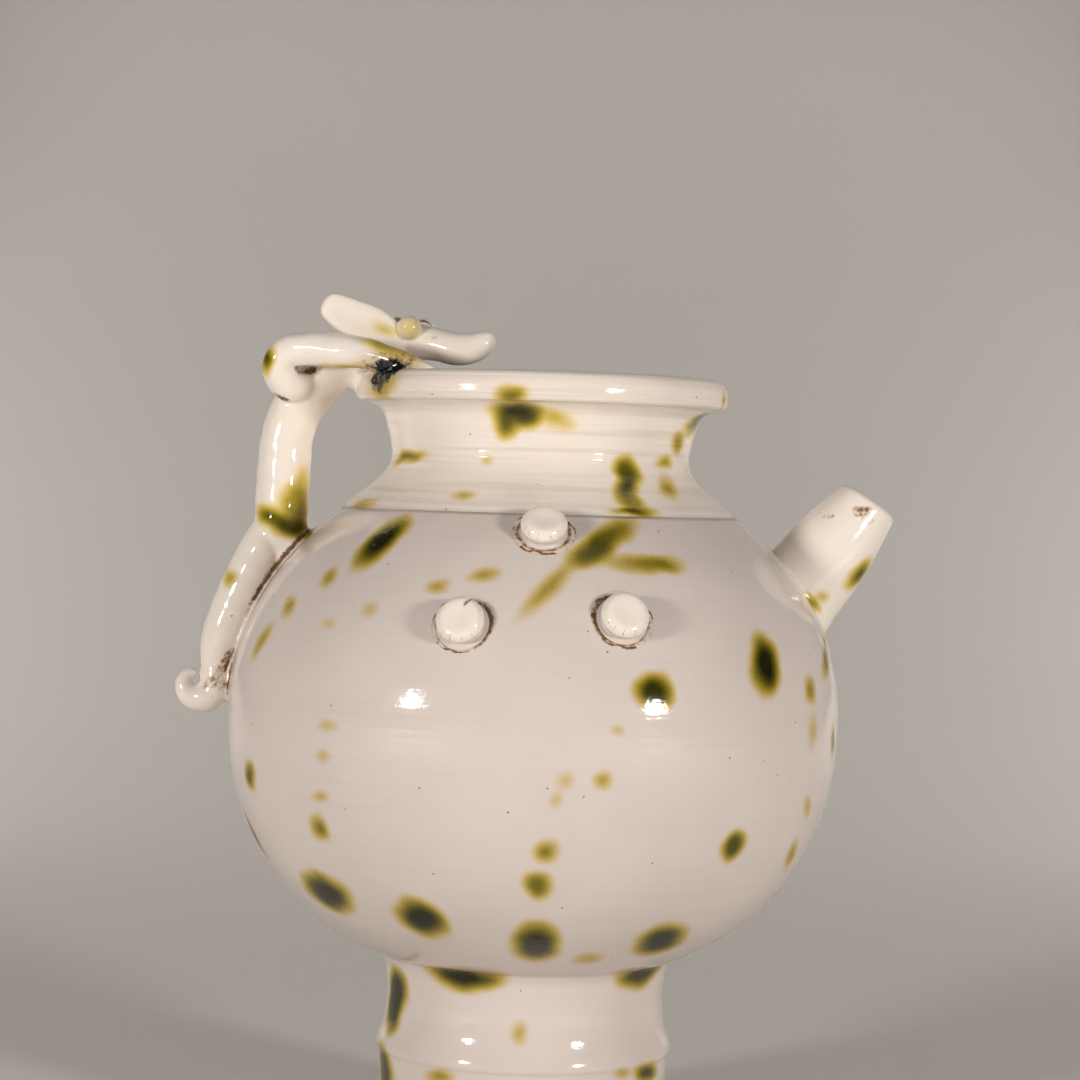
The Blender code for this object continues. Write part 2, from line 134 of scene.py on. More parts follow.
FOOT_HOLLOW = [(41.2, 6.0), (38.9, 13.0), (37.6, 20.0), (36.2, 32.0), (35.4, 42.0), (34.6, 47.4),
               (32.6, 50.4), (29.0, 51.8), (22.0, 52.1), (10.0, 52.2), (0.0, 52.2)]


def belly_side(top_radius, low_radius, count):
    """The outer belly between two radii, evenly spaced by angle on its superellipse."""
    turns = []
    for radius, power, sign in ((top_radius, BELLY_UPPER_POWER, 1), (low_radius, BELLY_LOWER_POWER, -1)):
        turns.append(sign * math.acos((radius / BELLY_RADIUS) ** (power / 2)))
    turn = np.linspace(*turns, count)
    power = np.where(turn > 0, BELLY_UPPER_POWER, BELLY_LOWER_POWER)
    reach = np.where(turn > 0, BELLY_RISE, BELLY_DROP)
    height = BELLY_LEVEL + np.sign(turn) * reach * np.abs(np.sin(turn)) ** (2 / power)
    return np.column_stack([BELLY_RADIUS * np.cos(turn) ** (2 / power), height])


def inside_wall(count):
    """The belly's inner side, one wall's thickness in, from the floor on the axis up to the neck."""
    low = BELLY_LEVEL - (BELLY_DROP - WALL)
    heights = np.concatenate([[low], low + 1.2 * MM * np.linspace(0.35, 1, 4) ** 2])
    heights = np.concatenate([heights, np.linspace(heights[-1] + 0.9 * MM, 190.5 * MM, count)])
    radii = belly_radius(heights, WALL)
    radii[0] = 0.0
    return np.column_stack([radii, heights])


THROAT = [(50.6, 193.8), (45.2, 197.4), (41.2, 201.8), (39.6, 206.8), (40.6, 211.6)]
outer_side = np.vstack([
    smooth_path(THROAT, 16) * MM, smooth_path(RIM, 46) * MM, smooth_path(NECK, 34) * MM,
    smooth_path(RIDGE, 14) * MM, belly_side(58.9 * MM, 44.6 * MM, 96), smooth_path(FOOT, 58) * MM,
])
profile = np.vstack([
    inside_wall(44), outer_side, smooth_path(RING, 22) * MM, smooth_path(FOOT_HOLLOW, 20) * MM
])
print(f"profile: {len(profile)} points")

# %% [markdown]
# A grid of points becomes a mesh in one go: every point's four neighbours make a face. The two ends of
# this profile lie on the axis, where a whole ring of points shrinks to one, so they are merged and the
# surface closes.


# %% Turn the profile
AROUND = 208
WAVER = 0.22 * MM
MERGE_GAP = 0.002 * MM


def grid_faces(rows, columns, closed):
    """Quads of a grid of points; closed joins the last column to the first."""
    steps = np.arange(columns if closed else columns - 1)
    down, along = np.meshgrid(np.arange(rows - 1), steps, indexing="ij")
    right = (along + 1) % columns
    corners = (down * columns + along, (down + 1) * columns + along, (down + 1) * columns + right,
               down * columns + right)
    return np.stack(corners, axis=-1).reshape(-1, 4)


def new_piece(name, points, faces):
    """A smooth-shaded object from an array of points and an array of faces."""
    mesh = bpy.data.meshes.new(name)
    mesh.from_pydata(points.tolist(), [], faces.tolist())
    mesh.shade_smooth()
    piece = bpy.data.objects.new(name, mesh)
    bpy.context.scene.collection.objects.link(piece)
    return piece


def turned_body(profile):
    """Each point (r, z) goes round as (r cos a, r sin a, z), with r wavering by a few waves of a."""
    angle = np.linspace(0, 2 * np.pi, AROUND, endpoint=False)[None, :]
    r, z = profile[:, :1], profile[:, 1:]
    lift = np.clip((z - 60 * MM) / (75 * MM), 0, 1) * np.clip((190 * MM - z) / (55 * MM), 0, 1)
    waver = WAVER * lift * (np.sin(2 * angle + 31 * z) + 0.5 * np.sin(3 * angle - 47 * z + 1.3))
    r = r + np.where(r > 10 * MM, waver, 0)
    points = np.stack([r * np.cos(angle), r * np.sin(angle), z + 0 * angle], axis=-1)
    return points.reshape(-1, 3), grid_faces(len(profile), AROUND, closed=True)


turned_jar = new_piece("turned_jar", *turned_body(profile))


def merged(piece):
    """Merges points that fall together and turns every face outwards."""
    shape = bmesh.new()
    shape.from_mesh(piece.data)
    bmesh.ops.remove_doubles(shape, verts=shape.verts, dist=MERGE_GAP)
    bmesh.ops.recalc_face_normals(shape, faces=shape.faces)
    shape.to_mesh(piece.data)
    shape.free()


merged(turned_jar)
print("body:", len(turned_jar.data.polygons), "faces")

# %% [markdown]
# ## Clay that was added by hand
#
# Where a roll of clay is pressed onto the wall, the slip between them leaves a soft concave seam, and
# the glaze rounds it further. Booleans leave such a seam sharp, and a bevel there is hard to control.
# So the added clay is worked out as a field of distances: at every point of a fine grid, how far is it
# to the clay's skin, less than nothing inside. Two forms join with a fillet where both distances are
# small, a pressed dimple is a distance taken away, and the skin itself is where the field is nought.
#
# First comes the grid. A roll or a ball touches only a small window of it, so each is worked out there
# alone, and everything outside the window counts as far away.


# %% A block of grid points
DRAGON_GRID, SPOUT_GRID, BUTTON_GRID = 0.5 * MM, 0.48 * MM, 0.36 * MM


class Block:
    """A grid of points that spans a box, in metres, with a field of distances on it."""

    def __init__(self, low, high, step):
        self.step = step
        self.low = np.array(low, float)
        counts = np.ceil((np.array(high) - self.low) / step).astype(int) + 1
        self.axes = [self.low[k] + step * np.arange(counts[k]) for k in range(3)]
        self.shape = tuple(counts)

    def window(self, low, high):
        """The slices of the grid that lie in a smaller box, and the coordinates of its points."""
        cuts = []
        for k in range(3):
            first = int(np.clip(np.floor((low[k] - self.low[k]) / self.step), 0, self.shape[k] - 1))
            last = int(np.clip(np.ceil((high[k] - self.low[k]) / self.step) + 1, first + 1, self.shape[k]))
            cuts.append(slice(first, last))
        mesh = np.meshgrid(*(self.axes[k][cuts[k]] for k in range(3)), indexing="ij", sparse=True)
        return tuple(cuts), mesh


print("grid ready")

# %% [markdown]
# Two distances do for the whole animal: one to a chain of tapering capsules, which is a roll of clay,
# and one to an ellipsoid, which is a ball or a leaf. Two rules join them: clay laid on clay, and clay
# pressed away.


# %% Rolls, balls and how they join
FAR, MARGIN = 20 * MM, 6 * MM
ROLL_STEPS = 48


def roll_distance(block, rows, stretch=(1.0, 1.0, 1.0)):
    """Distance to a chain of tapering capsules along rows of (x, y, z, radius), the nearest one counts.

    stretch is the roll's width along X, Y and Z compared with its radius: a flat leaf has one below 1.
    """
    path = smooth_path(rows, ROLL_STEPS)
    stretch = np.array(stretch, float)
    reach = path[:, 3:].max() * stretch.max() + MARGIN
    cuts, (x, y, z) = block.window(path[:, :3].min(0) - reach, path[:, :3].max(0) + reach)
    field = np.full(block.shape, FAR, np.float32)
    near = np.full([c.stop - c.start for c in cuts], FAR, np.float32)
    x, y, z = ((c / s).astype(np.float32) for c, s in zip((x, y, z), stretch))
    centres = (path[:, :3] / stretch).astype(np.float32)
    radii = path[:, 3].astype(np.float32)
    for a, b, ra, rb in zip(centres, centres[1:], radii, radii[1:]):
        ab = b - a
        px, py, pz = x - a[0], y - a[1], z - a[2]
        h = np.clip((px * ab[0] + py * ab[1] + pz * ab[2]) / max(float(ab @ ab), 1e-14), 0, 1)
        gap = (px - h * ab[0]) ** 2 + (py - h * ab[1]) ** 2 + (pz - h * ab[2]) ** 2
        near = np.minimum(near, np.sqrt(gap) - (ra + h * (rb - ra)))
    field[cuts] = near * min(stretch)
    return field


def ball_distance(block, centre, radii):
    """Distance to an ellipsoid's skin, near enough: (|p / radii| - 1) times its least radius."""
    centre, radii = np.array(centre), np.array(radii, float) * np.ones(3)
    cuts, (x, y, z) = block.window(centre - radii - MARGIN, centre + radii + MARGIN)
    field = np.full(block.shape, FAR, np.float32)
    scaled = ((x - centre[0]) / radii[0]) ** 2 + ((y - centre[1]) / radii[1]) ** 2
    field[cuts] = (np.sqrt(scaled + ((z - centre[2]) / radii[2]) ** 2) - 1) * radii.min()
    return field


def joined(a, b, fillet):
    """Whichever is nearer, with a fillet: min(a, b) less h^2 / (4 fillet), where h = fillet - |a - b|."""
    overlap = np.maximum(fillet - np.abs(a - b), 0)
    return np.minimum(a, b) - overlap**2 / (4 * fillet)


def pressed(a, b, fillet):
    """a with b pressed out of it, the edge rounded by the fillet."""
    return -joined(-a, b, fillet)


print("distances ready")

# %% [markdown]
# Marching cubes is the usual way from such a field to a mesh, but it leaves slivers that catch the light
# on a glossy glaze. A surface net makes even quads instead: one point in each cell that the skin passes
# through, and one face round each grid edge that it crosses.


# %% The net that pulls the skin out
def surface_net(block, field):
    """The skin where the field is nought.

    A grid edge whose ends lie on both sides of the skin is crossed at a place found by proportion. Each
    grid cell with such edges gets one point, the mean of its crossings, and each crossed edge one face
    between the four cells round it, turned by which end is inside.
    """
    cells = np.array(block.shape)
    total = np.zeros((int(np.prod(cells)), 3))
    count = np.zeros(len(total))
    stride = np.array([cells[1] * cells[2], cells[2], 1])
    quads = []
    inside = field < 0
    flat = field.ravel()
    for axis in range(3):
        lower = [slice(1, -1)] * 3
        upper = list(lower)
        upper[axis] = slice(2, None)
        start = np.argwhere(inside[tuple(lower)] != inside[tuple(upper)]) + 1
        here = start @ stride
        beyond = here + stride[axis]
        share = flat[here] / (flat[here] - flat[beyond])
        crossing = start.astype(float)
        crossing[:, axis] += share
        one, two = (k for k in range(3) if k != axis)
        left, below = stride[one], stride[two]
        around = np.stack([here, here - left, here - left - below, here - below], 1)
        for corner in around.T:
            count += np.bincount(corner, minlength=len(total))
            for k in range(3):
                total[:, k] += np.bincount(corner, crossing[:, k], minlength=len(total))
        turn = inside.ravel()[here] == (axis == 1)
        around[turn] = around[turn][:, ::-1]
        quads.append(around)
    used = np.flatnonzero(count)
    number = np.full(len(total), -1)
    number[used] = np.arange(len(used))
    points = block.low + block.step * total[used] / count[used][:, None]
    return points, number[np.vstack(quads)]


print("net ready")

# %% [markdown]
# Where two rolls nearly touch, the grid can leave a loose crumb, which is dropped. The last steps of the
# grid are smoothed away, as a wet thumb does it.

# %% Crumbs and smoothing
CRUMB = 200
SMOOTH_ROUNDS, SMOOTH_STRENGTH = 2, 0.5


def without_crumbs(points, faces):
    """Drops loose bits of fewer than CRUMB points.

    Each point takes the lowest number found on its faces, again and again, until every joined part
    carries one number.
    """
    number = np.arange(len(points))
    before = None
    while before is None or (before != number).any():
        before = number.copy()
        np.minimum.at(number, faces.ravel(), np.repeat(number[faces].min(axis=1), 4))
        number = number[number]
    kept = np.bincount(number)[number] >= CRUMB
    return points[kept], (np.cumsum(kept) - 1)[faces[kept[faces[:, 0]]]]


def smoothed(points, faces):
    """Each point moves towards the mean of its neighbours, then back a little, so nothing shrinks."""
    pairs = np.vstack([faces[:, [k, (k + 1) % 4]] for k in range(4)])
    pairs = np.vstack([pairs, pairs[:, ::-1]])
    degree = np.bincount(pairs[:, 0], minlength=len(points))[:, None]
    for step in range(2 * SMOOTH_ROUNDS):
        sums = [np.bincount(pairs[:, 0], points[pairs[:, 1], k], len(points)) for k in range(3)]
        weight = SMOOTH_STRENGTH if step % 2 == 0 else -SMOOTH_STRENGTH * 1.04
        points = points + weight * (np.stack(sums, 1) / degree - points)
    return points


print("smoothing ready")

# %% [markdown]
# The added clay has to end on the jar's wall without a visible edge. So the wall itself goes into the
# field, sunk a hair below its real surface near the added clay and deeper further off. The fillet rises
# out of the wall, and everything beyond it lies hidden inside the wall, where the piece is closed off.
# The wall's distance depends only on radius and height, so it is worked out once on a fine table. The
# belly counts as solid there, because nothing is luted on from inside.


# %% The wall as a field
ROOT_DEPTH = 1.5 * MM
TABLE_STEP = 0.35 * MM
TABLE_R = np.arange(18 * MM, 120 * MM, TABLE_STEP)
TABLE_Z = np.arange(110 * MM, 262 * MM, TABLE_STEP)


def wall_table():
    """At each (r, z): the distance to the nearest stretch of the outer side, less than nothing inside.

    A point is inside if a line from it straight outwards crosses the outline an odd number of times.
    """
    outline = np.vstack([[(0.0, outer_side[0, 1])], outer_side])
    r, z = np.meshgrid(TABLE_R, TABLE_Z, indexing="ij")
    nearest = np.full(r.shape, np.inf)
    crossings = np.zeros(r.shape, int)
    for (r0, z0), (r1, z1) in zip(outline, outline[1:]):
        dr, dz = r1 - r0, z1 - z0
        h = np.clip(((r - r0) * dr + (z - z0) * dz) / max(dr * dr + dz * dz, 1e-14), 0, 1)
        nearest = np.minimum(nearest, (r - r0 - h * dr) ** 2 + (z - z0 - h * dz) ** 2)
        if dz:
            level = (TABLE_Z - z0) / dz
            crosses = (np.minimum(z0, z1) <= TABLE_Z) & (TABLE_Z < np.maximum(z0, z1))
            crossings += crosses[None, :] & (r < (r0 + level * dr)[None, :])
    return np.sqrt(nearest) * np.where(crossings % 2 == 1, -1, 1)


WALL_DISTANCE = wall_table()


def wall_distance(x, y, z):
    """The table read between its points, at any places in space."""
    r = (np.hypot(x, y) - TABLE_R[0]) / TABLE_STEP
    h = (z - TABLE_Z[0]) / TABLE_STEP
    r, h = np.broadcast_arrays(np.clip(r, 0, len(TABLE_R) - 1.001), np.clip(h, 0, len(TABLE_Z) - 1.001))
    i, j = r.astype(int), h.astype(int)
    u, v = r - i, h - j
    low = WALL_DISTANCE[i, j] * (1 - u) + WALL_DISTANCE[i + 1, j] * u
    high = WALL_DISTANCE[i, j + 1] * (1 - u) + WALL_DISTANCE[i + 1, j + 1] * u
    return (low * (1 - v) + high * v).astype(np.float32)


def smoothstep(low, high, value):
    """0 below low, 1 above high, and an S-curve 3t^2 - 2t^3 between."""
    t = np.clip((value - low) / (high - low), 0, 1)
    return t * t * (3 - 2 * t)


def luted(clay, wall, fillet):
    """Added clay with its fillet to the wall, closed off inside the wall."""
    sink = 0.07 * MM + 2.4 * MM * smoothstep(fillet * 0.7, fillet * 0.7 + 3 * MM, clay)
    skin = joined(clay, wall + sink, fillet)
    return np.maximum(skin, -(wall + ROOT_DEPTH))


def everywhere(block):
    """The coordinates of all of a block's points."""
    return np.meshgrid(*block.axes, indexing="ij", sparse=True)


print(f"wall table: {WALL_DISTANCE.shape}, deepest {1000 * WALL_DISTANCE.min():.1f} mm")

# %% [markdown]
# ## The dragon
#
# The maker rolled each limb between the palms: a back that is also the grip, a haunch, a thin wedge of
# slip that holds the haunch to the belly, a curled tail, two forelegs that grip the rim, and a long
# head with leaf ears and ball eyes. Each is a row of places with a radius, close to the CAD's own, with
# the haunch pressed a little nearer to the belly, and a smooth curve runs through the row. Where two
# rolls only touch, the crease stays narrow, because clay that is leather-hard hardly gives.


# %% The dragon's rolls
def from_lip(x, y, z, radius):
    """A row of a roll, in millimetres from the rim's outer edge on the dragon's side."""
    return (x * MM - RIM_RADIUS, y * MM, MOUTH_Z + z * MM, radius * MM)


def beside_belly(z, gap, radius):
    """A row of a roll whose centre is a gap away from the belly on the dragon's side."""
    return (-(float(belly_radius(z)) + gap * MM), 0.0, z, radius * MM)


def from_hip(drop, gap, radius):
    """A row beside the belly, by how far it lies below the hip, in millimetres."""
    return beside_belly(HIP_Z - drop * MM, gap, radius)


BACK = [
    beside_belly(177.7 * MM, 0.6, 5.8),
    *((x * MM, 0.0, z * MM, r * MM) for x, z, r in (
        (-76.8, 184.3, 7.6), (-77.1, 190.1, 7.9), (-76.8, 201.0, 7.9), (-76.1, 211.6, 7.8),
        (-73.6, 219.4, 7.7), (-69.0, 225.1, 7.2))),
    from_lip(-8.5, 0, -2.3, 6.1), from_lip(-2.3, 0, 0.1, 5.0), from_lip(3.5, 0, 0.4, 4.0),
]
HAUNCH = [from_hip(*row) for row in (
    (-3.4, 11.5, 5.3), (1.9, 11.0, 6.4), (8.7, 8.7, 6.7), (20.4, 6.3, 6.7), (31.0, 5.5, 6.3),
    (37.2, 5.2, 5.3), (41.8, 4.8, 4.4), (46.6, 4.5, 4.2))]
SLIP = [from_hip(*row) for row in ((3, 3.0, 2.9), (9.7, 2.2, 3.0), (29.1, 1.2, 3.0), (48.5, 0.9, 2.9))]
LEG = [(-15.0, 4.0, -5.4, 4.3), (-20.0, 9.0, -5.0, 4.7), (-22.7, 12.0, 0.2, 4.7), (-20.2, 13.0, 4.4, 4.7),
       (-14.8, 14.0, 5.7, 4.9), (-5.7, 17.0, 5.5, 5.0), (2.5, 21.0, 4.8, 4.7), (10.0, 25.0, 3.1, 4.0),
       (16.9, 28.0, 1.6, 2.9), (22.6, 30.0, 0.1, 1.5)]
EAR = [(12.5, 3.8, 9.8, 3.0), (8.0, 5.4, 12.0, 4.7), (2.8, 7.2, 14.4, 5.5), (-2.2, 8.6, 16.2, 5.5),
       (-6.6, 9.8, 18.2, 4.3)]
print("rolls of the back, haunch, leg and ear:", len(BACK), len(HAUNCH), len(LEG), len(EAR), "rows")

# %% [markdown]
# The head turns 20 degrees to the front, so its places are given from the middle of the skull and turned
# with it. The tail is a spiral that shrinks to its eye.

# %% Head and tail
HEAD_TURN = math.radians(-20)
HEAD_MIDDLE = Vector((17.4 * MM - RIM_RADIUS, -0.2 * MM, MOUTH_Z + 10.2 * MM))


def on_head(forward, side, up):
    """A place in space from millimetres ahead of, beside and above the middle of the skull."""
    return HEAD_MIDDLE + Matrix.Rotation(HEAD_TURN, 3, "Z") @ Vector((forward, side, up)) * MM


def tail_spiral(count):
    """A spiral: the angle falls evenly from 12 to -242 degrees while the reach shrinks to the eye."""
    share = np.linspace(0, 1, count)
    angle = np.radians(12 - 254 * share)
    reach = (6.2 - 3.9 * share**1.8) * MM
    radius = (4.6 - 3.4 * (np.clip(share - 0.3, 0, 1) / 0.7) ** 0.9) * MM
    centre_z = HIP_Z - 45.6 * MM
    centre_x = -(float(belly_radius(centre_z)) + 9.9 * MM)
    x, z = centre_x + reach * np.cos(angle), centre_z + reach * np.sin(angle)
    return np.column_stack([x, 0 * share, z, radius])


NAPE = [from_lip(-14.4, 0, -6.0, 6.5), from_lip(-6.0, 0, 1.8, 6.6), from_lip(2.8, 0, 6.6, 6.0)]
BILL = [(*on_head(ahead, 0, up), r * MM) for ahead, up, r in (
    (-4.0, -0.8, 5.1), (1.5, -0.9, 5.2), (7.0, -1.7, 4.9), (12.5, -2.7, 4.8), (17.0, -2.6, 4.7),
    (20.6, -1.3, 3.9), (22.6, -0.2, 2.7))]
print(f"skull at {[round(1000 * c, 1) for c in HEAD_MIDDLE]} mm")

# %% [markdown]
# Each join has a fillet of its own, wide where the maker smoothed it and narrow where two rolls only
# touch. The ear is a flat leaf with a cup pressed into it, and the mouth's corner is a small dent. A
# wave of 0.12 mm over the finished clay keeps it from looking machined.


# %% Join the dragon's clay
def dragon_field(block, wall):
    """All of the dragon's clay, joined roll by roll."""
    back = roll_distance(block, BACK)
    back = joined(back, wall + 1.0 * MM + np.maximum(back - 2.5 * MM, 0), 5.0 * MM)
    haunch = roll_distance(block, HAUNCH)
    clay = joined(back, haunch, 0.9 * MM)
    clay = joined(clay, roll_distance(block, tail_spiral(14)), 1.6 * MM)
    clay = joined(clay, roll_distance(block, SLIP), 1.2 * MM)
    head = roll_distance(block, NAPE + BILL, (1.0, 1.06, 1.0))
    head = joined(head, ball_distance(block, on_head(-5.5, -1.5, 4.2), 2.4 * MM), 1.5 * MM)
    for side in (-1, 1):
        leg = roll_distance(block, [from_lip(x, side * y, z, r) for x, y, z, r in LEG])
        clay = joined(clay, leg, 1.0 * MM)
        ear_rows = [from_lip(x, side * y, z, r) for x, y, z, r in EAR]
        cup_rows = [from_lip(x, side * (y + 3.9), z, r * 0.74) for x, y, z, r in EAR[1:]]
        ear = roll_distance(block, ear_rows, (1.0, 0.42, 1.0))
        cup = roll_distance(block, cup_rows, (1.0, 0.62, 1.0))
        head = joined(head, pressed(ear, cup, 1.6 * MM), 1.0 * MM)
        head = joined(head, ball_distance(block, on_head(0, side * 5.8, 3.1), 3.6 * MM), 0.5 * MM)
    head = pressed(head, ball_distance(block, on_head(5.2, -6.6, 0.4), 1.4 * MM), 1.2 * MM)
    return joined(clay, head, 0.9 * MM)


dragon_block = Block((-113 * MM, -37 * MM, 124 * MM), (-9 * MM, 37 * MM, 257 * MM), DRAGON_GRID)
x, y, z = everywhere(dragon_block)
wall = wall_distance(x, y, z)
dragon_clay = dragon_field(dragon_block, wall)
dragon_clay += 0.12 * MM * (np.sin(x * 540 + z * 310) * np.sin(z * 480 + y * 350)).astype(np.float32)
points, faces = without_crumbs(*surface_net(dragon_block, luted(dragon_clay, wall, 1.8 * MM)))
dragon_handle = new_piece("dragon_handle", smoothed(points, faces), faces)
print("dragon:", dragon_block.shape, len(faces), "faces")

# %% [markdown]
# ## The spout
#
# A tube rolled round a stick, tapered and a little barrelled, cut off at its tip and luted on over a
# hole in the wall. Its distance is worked out in its own frame: how far along its axis, and how far out
# from it. The thick collar of slip that the potter wiped round its root is a roll that keeps a steady
# distance from both the spout and the wall, so its formula uses those two distances alone.

# %% The spout
SPOUT_RISE = math.radians(52.8)
SPOUT_Z = 170.5 * MM
SPOUT_BASE = np.array([float(belly_radius(SPOUT_Z)), 0.0, SPOUT_Z])
SPOUT_LENGTH = 34.2 * MM
spout_block = Block((58 * MM, -24 * MM, 140 * MM), (112 * MM, 24 * MM, 208 * MM), SPOUT_GRID)
x, y, z = everywhere(spout_block)
wall = wall_distance(x, y, z)
along = (x - SPOUT_BASE[0]) * math.cos(SPOUT_RISE) + (z - SPOUT_BASE[2]) * math.sin(SPOUT_RISE)
across = (x - SPOUT_BASE[0]) * math.sin(SPOUT_RISE) - (z - SPOUT_BASE[2]) * math.cos(SPOUT_RISE)
out = np.hypot(across, y)
share = np.clip(along / SPOUT_LENGTH, -0.4, 1)
outer = (13.7 - 4.6 * share + 1.1 * np.sin(np.pi * np.clip(share, 0, 1))) * MM
side = (out - outer) * 0.99
tip = along - SPOUT_LENGTH - 0.06 * across
spout_clay = -joined(-side, -tip, 2.2 * MM)
wiped = smoothstep(-13 * MM, -7 * MM, across) * (1 - smoothstep(8 * MM, 13 * MM, across))
collar = np.hypot(side - 2.4 * MM, (wall + 1.2 * MM) * 1.25) - (1.3 + 1.3 * wiped) * MM
root = luted(collar, wall, 3.0 * MM)
skin = np.maximum(joined(spout_clay, root, 0.5 * MM), -(wall + ROOT_DEPTH))
bore = (out - (7.6 - 2.7 * along / SPOUT_LENGTH) * MM) * 0.99
points, faces = surface_net(spout_block, pressed(skin, bore, 1.6 * MM).astype(np.float32))
luted_spout = new_piece("luted_spout", smoothed(points, faces), faces)
print("spout:", spout_block.shape, len(faces), "faces")

# %% [markdown]
# The bore runs on through the belly's wall. The body is a plain turned grid, so here a Boolean is the
# right tool: it cuts one clean hole, and the spout hides its edge from outside.

# %% Cut the bore through the wall
PLUG_SIDES = 48


def cut_bore(body):
    """Cuts a tapered plug along the spout's axis out of the body."""
    turn = np.linspace(0, 2 * np.pi, PLUG_SIDES, endpoint=False)
    stations = np.array([(-22.0, 0.0), (-22.0, 9.3), (6.0, 7.1), (6.0, 0.0)]) * MM
    far, wide = stations[:, :1], stations[:, 1:]
    side_x, side_y = wide * np.cos(turn), wide * np.sin(turn)
    points = np.stack([
        SPOUT_BASE[0] + far * math.cos(SPOUT_RISE) + side_x * math.sin(SPOUT_RISE),
        side_y,
        SPOUT_BASE[2] + far * math.sin(SPOUT_RISE) - side_x * math.cos(SPOUT_RISE),
    ], axis=-1)
    plug = new_piece("bore_plug", points.reshape(-1, 3), grid_faces(4, PLUG_SIDES, closed=True))
    merged(plug)
    cut = body.modifiers.new("bore", "BOOLEAN")
    cut.operation, cut.solver, cut.object = "DIFFERENCE", "EXACT", plug
    seen = bpy.context.evaluated_depsgraph_get()
    body.data = bpy.data.meshes.new_from_object(body.evaluated_get(seen))
    body.modifiers.clear()
    bpy.data.objects.remove(plug)


cut_bore(turned_jar)
turned_jar.data.name = "turned_jar"
print("body with its bore:", len(turned_jar.data.polygons), "faces")

# %% [markdown]
# ## The buttons
#
# Six pellets of clay pressed onto the belly, three in front and three behind. Each is a short fat disc,
# a little wider above than below, with a rounded edge and a shallow dimple where the thumb pushed. The
# push squeezed a low ring of slip out round it. Height above the wall and distance from the button's
# own middle give the whole form. One of them has a small split in its edge.

# %% Each button's place on the wall
BUTTONS = [
    # azimuth in degrees, height in millimetres, size, direction of a split in degrees or None
    (-88.6, 186.4, 1.00, None), (-103.6, 161.0, 1.02, 72), (-73.4, 163.4, 1.03, None),
    (90.0, 186.4, 1.00, None), (105.0, 162.2, 1.02, None), (75.0, 162.2, 1.01, None),
]


def wall_frame(azimuth, height, radius_at, step):
    """A place on the wall, and unit vectors sideways, upwards along the wall and outwards."""
    height, turn = height * MM, math.radians(azimuth)
    slope = float(radius_at(height + step) - radius_at(height - step)) / (2 * step)
    across = np.array([math.cos(turn), math.sin(turn), 0.0])
    out = np.array([across[0], across[1], -slope]) / math.hypot(1, slope)
    side = np.array([-math.sin(turn), math.cos(turn), 0.0])
    place = across * float(radius_at(height)) + np.array([0, 0, height])
    return place, side, np.cross(out, side), out


print("buttons:", len(BUTTONS))

# %% [markdown]
# In the button's own frame, h is the height off the wall and rho the distance from its axis. The disc is
# the part inside a widening tube and under a lid, joined with a wide fillet. The thumb is a large ball
# pressed into the lid, and the squeezed slip is a thin roll round the foot.


# %% Form the buttons
BUTTON_REACH = 13 * MM


def button_points(azimuth, height, size, split):
    """One button's skin, and how far each of its points is from its middle, along and off the wall."""
    middle, side, up, out = wall_frame(azimuth, height, belly_radius, 0.2 * MM)
    block = Block(middle - BUTTON_REACH, middle + BUTTON_REACH, BUTTON_GRID)
    x, y, z = everywhere(block)
    x, y, z = x - middle[0], y - middle[1], z - middle[2]
    h = x * out[0] + y * out[1] + z * out[2]
    u = x * side[0] + y * side[1] + z * side[2]
    v = x * up[0] + y * up[1] + z * up[2]
    rho = np.hypot(u, v)
    wall = wall_distance(x + middle[0], y + middle[1], z + middle[2])
    edge = rho - (5.7 + 1.1 * smoothstep(0, 3.4 * MM, h)) * size * MM
    cap = -joined(-edge, -(h - 5.9 * MM), 4.6 * MM)
    thumb = np.sqrt(u * u + v * v + (h - 22.5 * MM) ** 2) - 17.3 * MM
    cap = pressed(cap, thumb, 1.2 * MM)
    if split is not None:
        turn = math.radians(split)
        ahead = u * math.cos(turn) + v * math.sin(turn) - 6.6 * MM
        beside = -u * math.sin(turn) + v * math.cos(turn)
        nick = np.sqrt((ahead / 3.2) ** 2 + (beside / 0.8) ** 2 + ((h - 5.4 * MM) / 3.6) ** 2) - 0.95 * MM
        cap = pressed(cap, nick * 0.8, 0.3 * MM)
    squeezed = np.hypot(rho - 7.9 * size * MM, (wall + 0.6 * MM) * 1.2) - 0.8 * MM
    clay = joined(cap, squeezed, 0.7 * MM)
    points, faces = surface_net(block, luted(clay, wall, 1.0 * MM).astype(np.float32))
    points = smoothed(points, faces)
    offset = points - middle
    return points, faces, np.stack([offset @ side, offset @ up, offset @ out], axis=1)


made = [button_points(*row) for row in BUTTONS]
starts = np.cumsum([0] + [len(points) for points, _, _ in made[:-1]])
clay_buttons = new_piece(
    "clay_buttons",
    np.vstack([points for points, _, _ in made]),
    np.vstack([faces + start for (_, faces, _), start in zip(made, starts)]),
)
button_offsets = np.vstack([offsets for _, _, offsets in made])
print("buttons:", len(clay_buttons.data.polygons), "faces")

# %% [markdown]
# The four pieces ride on the one body of the CAD model and take the place of its two solids.

# %% Tie the pieces to the CAD model
PIECES = (turned_jar, dragon_handle, luted_spout, clay_buttons)
for piece in PIECES:
    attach(piece, "root")
    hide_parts("jar_spout" if piece is luted_spout else "porcelain_jar")
print("pieces:", [piece.name for piece in PIECES])
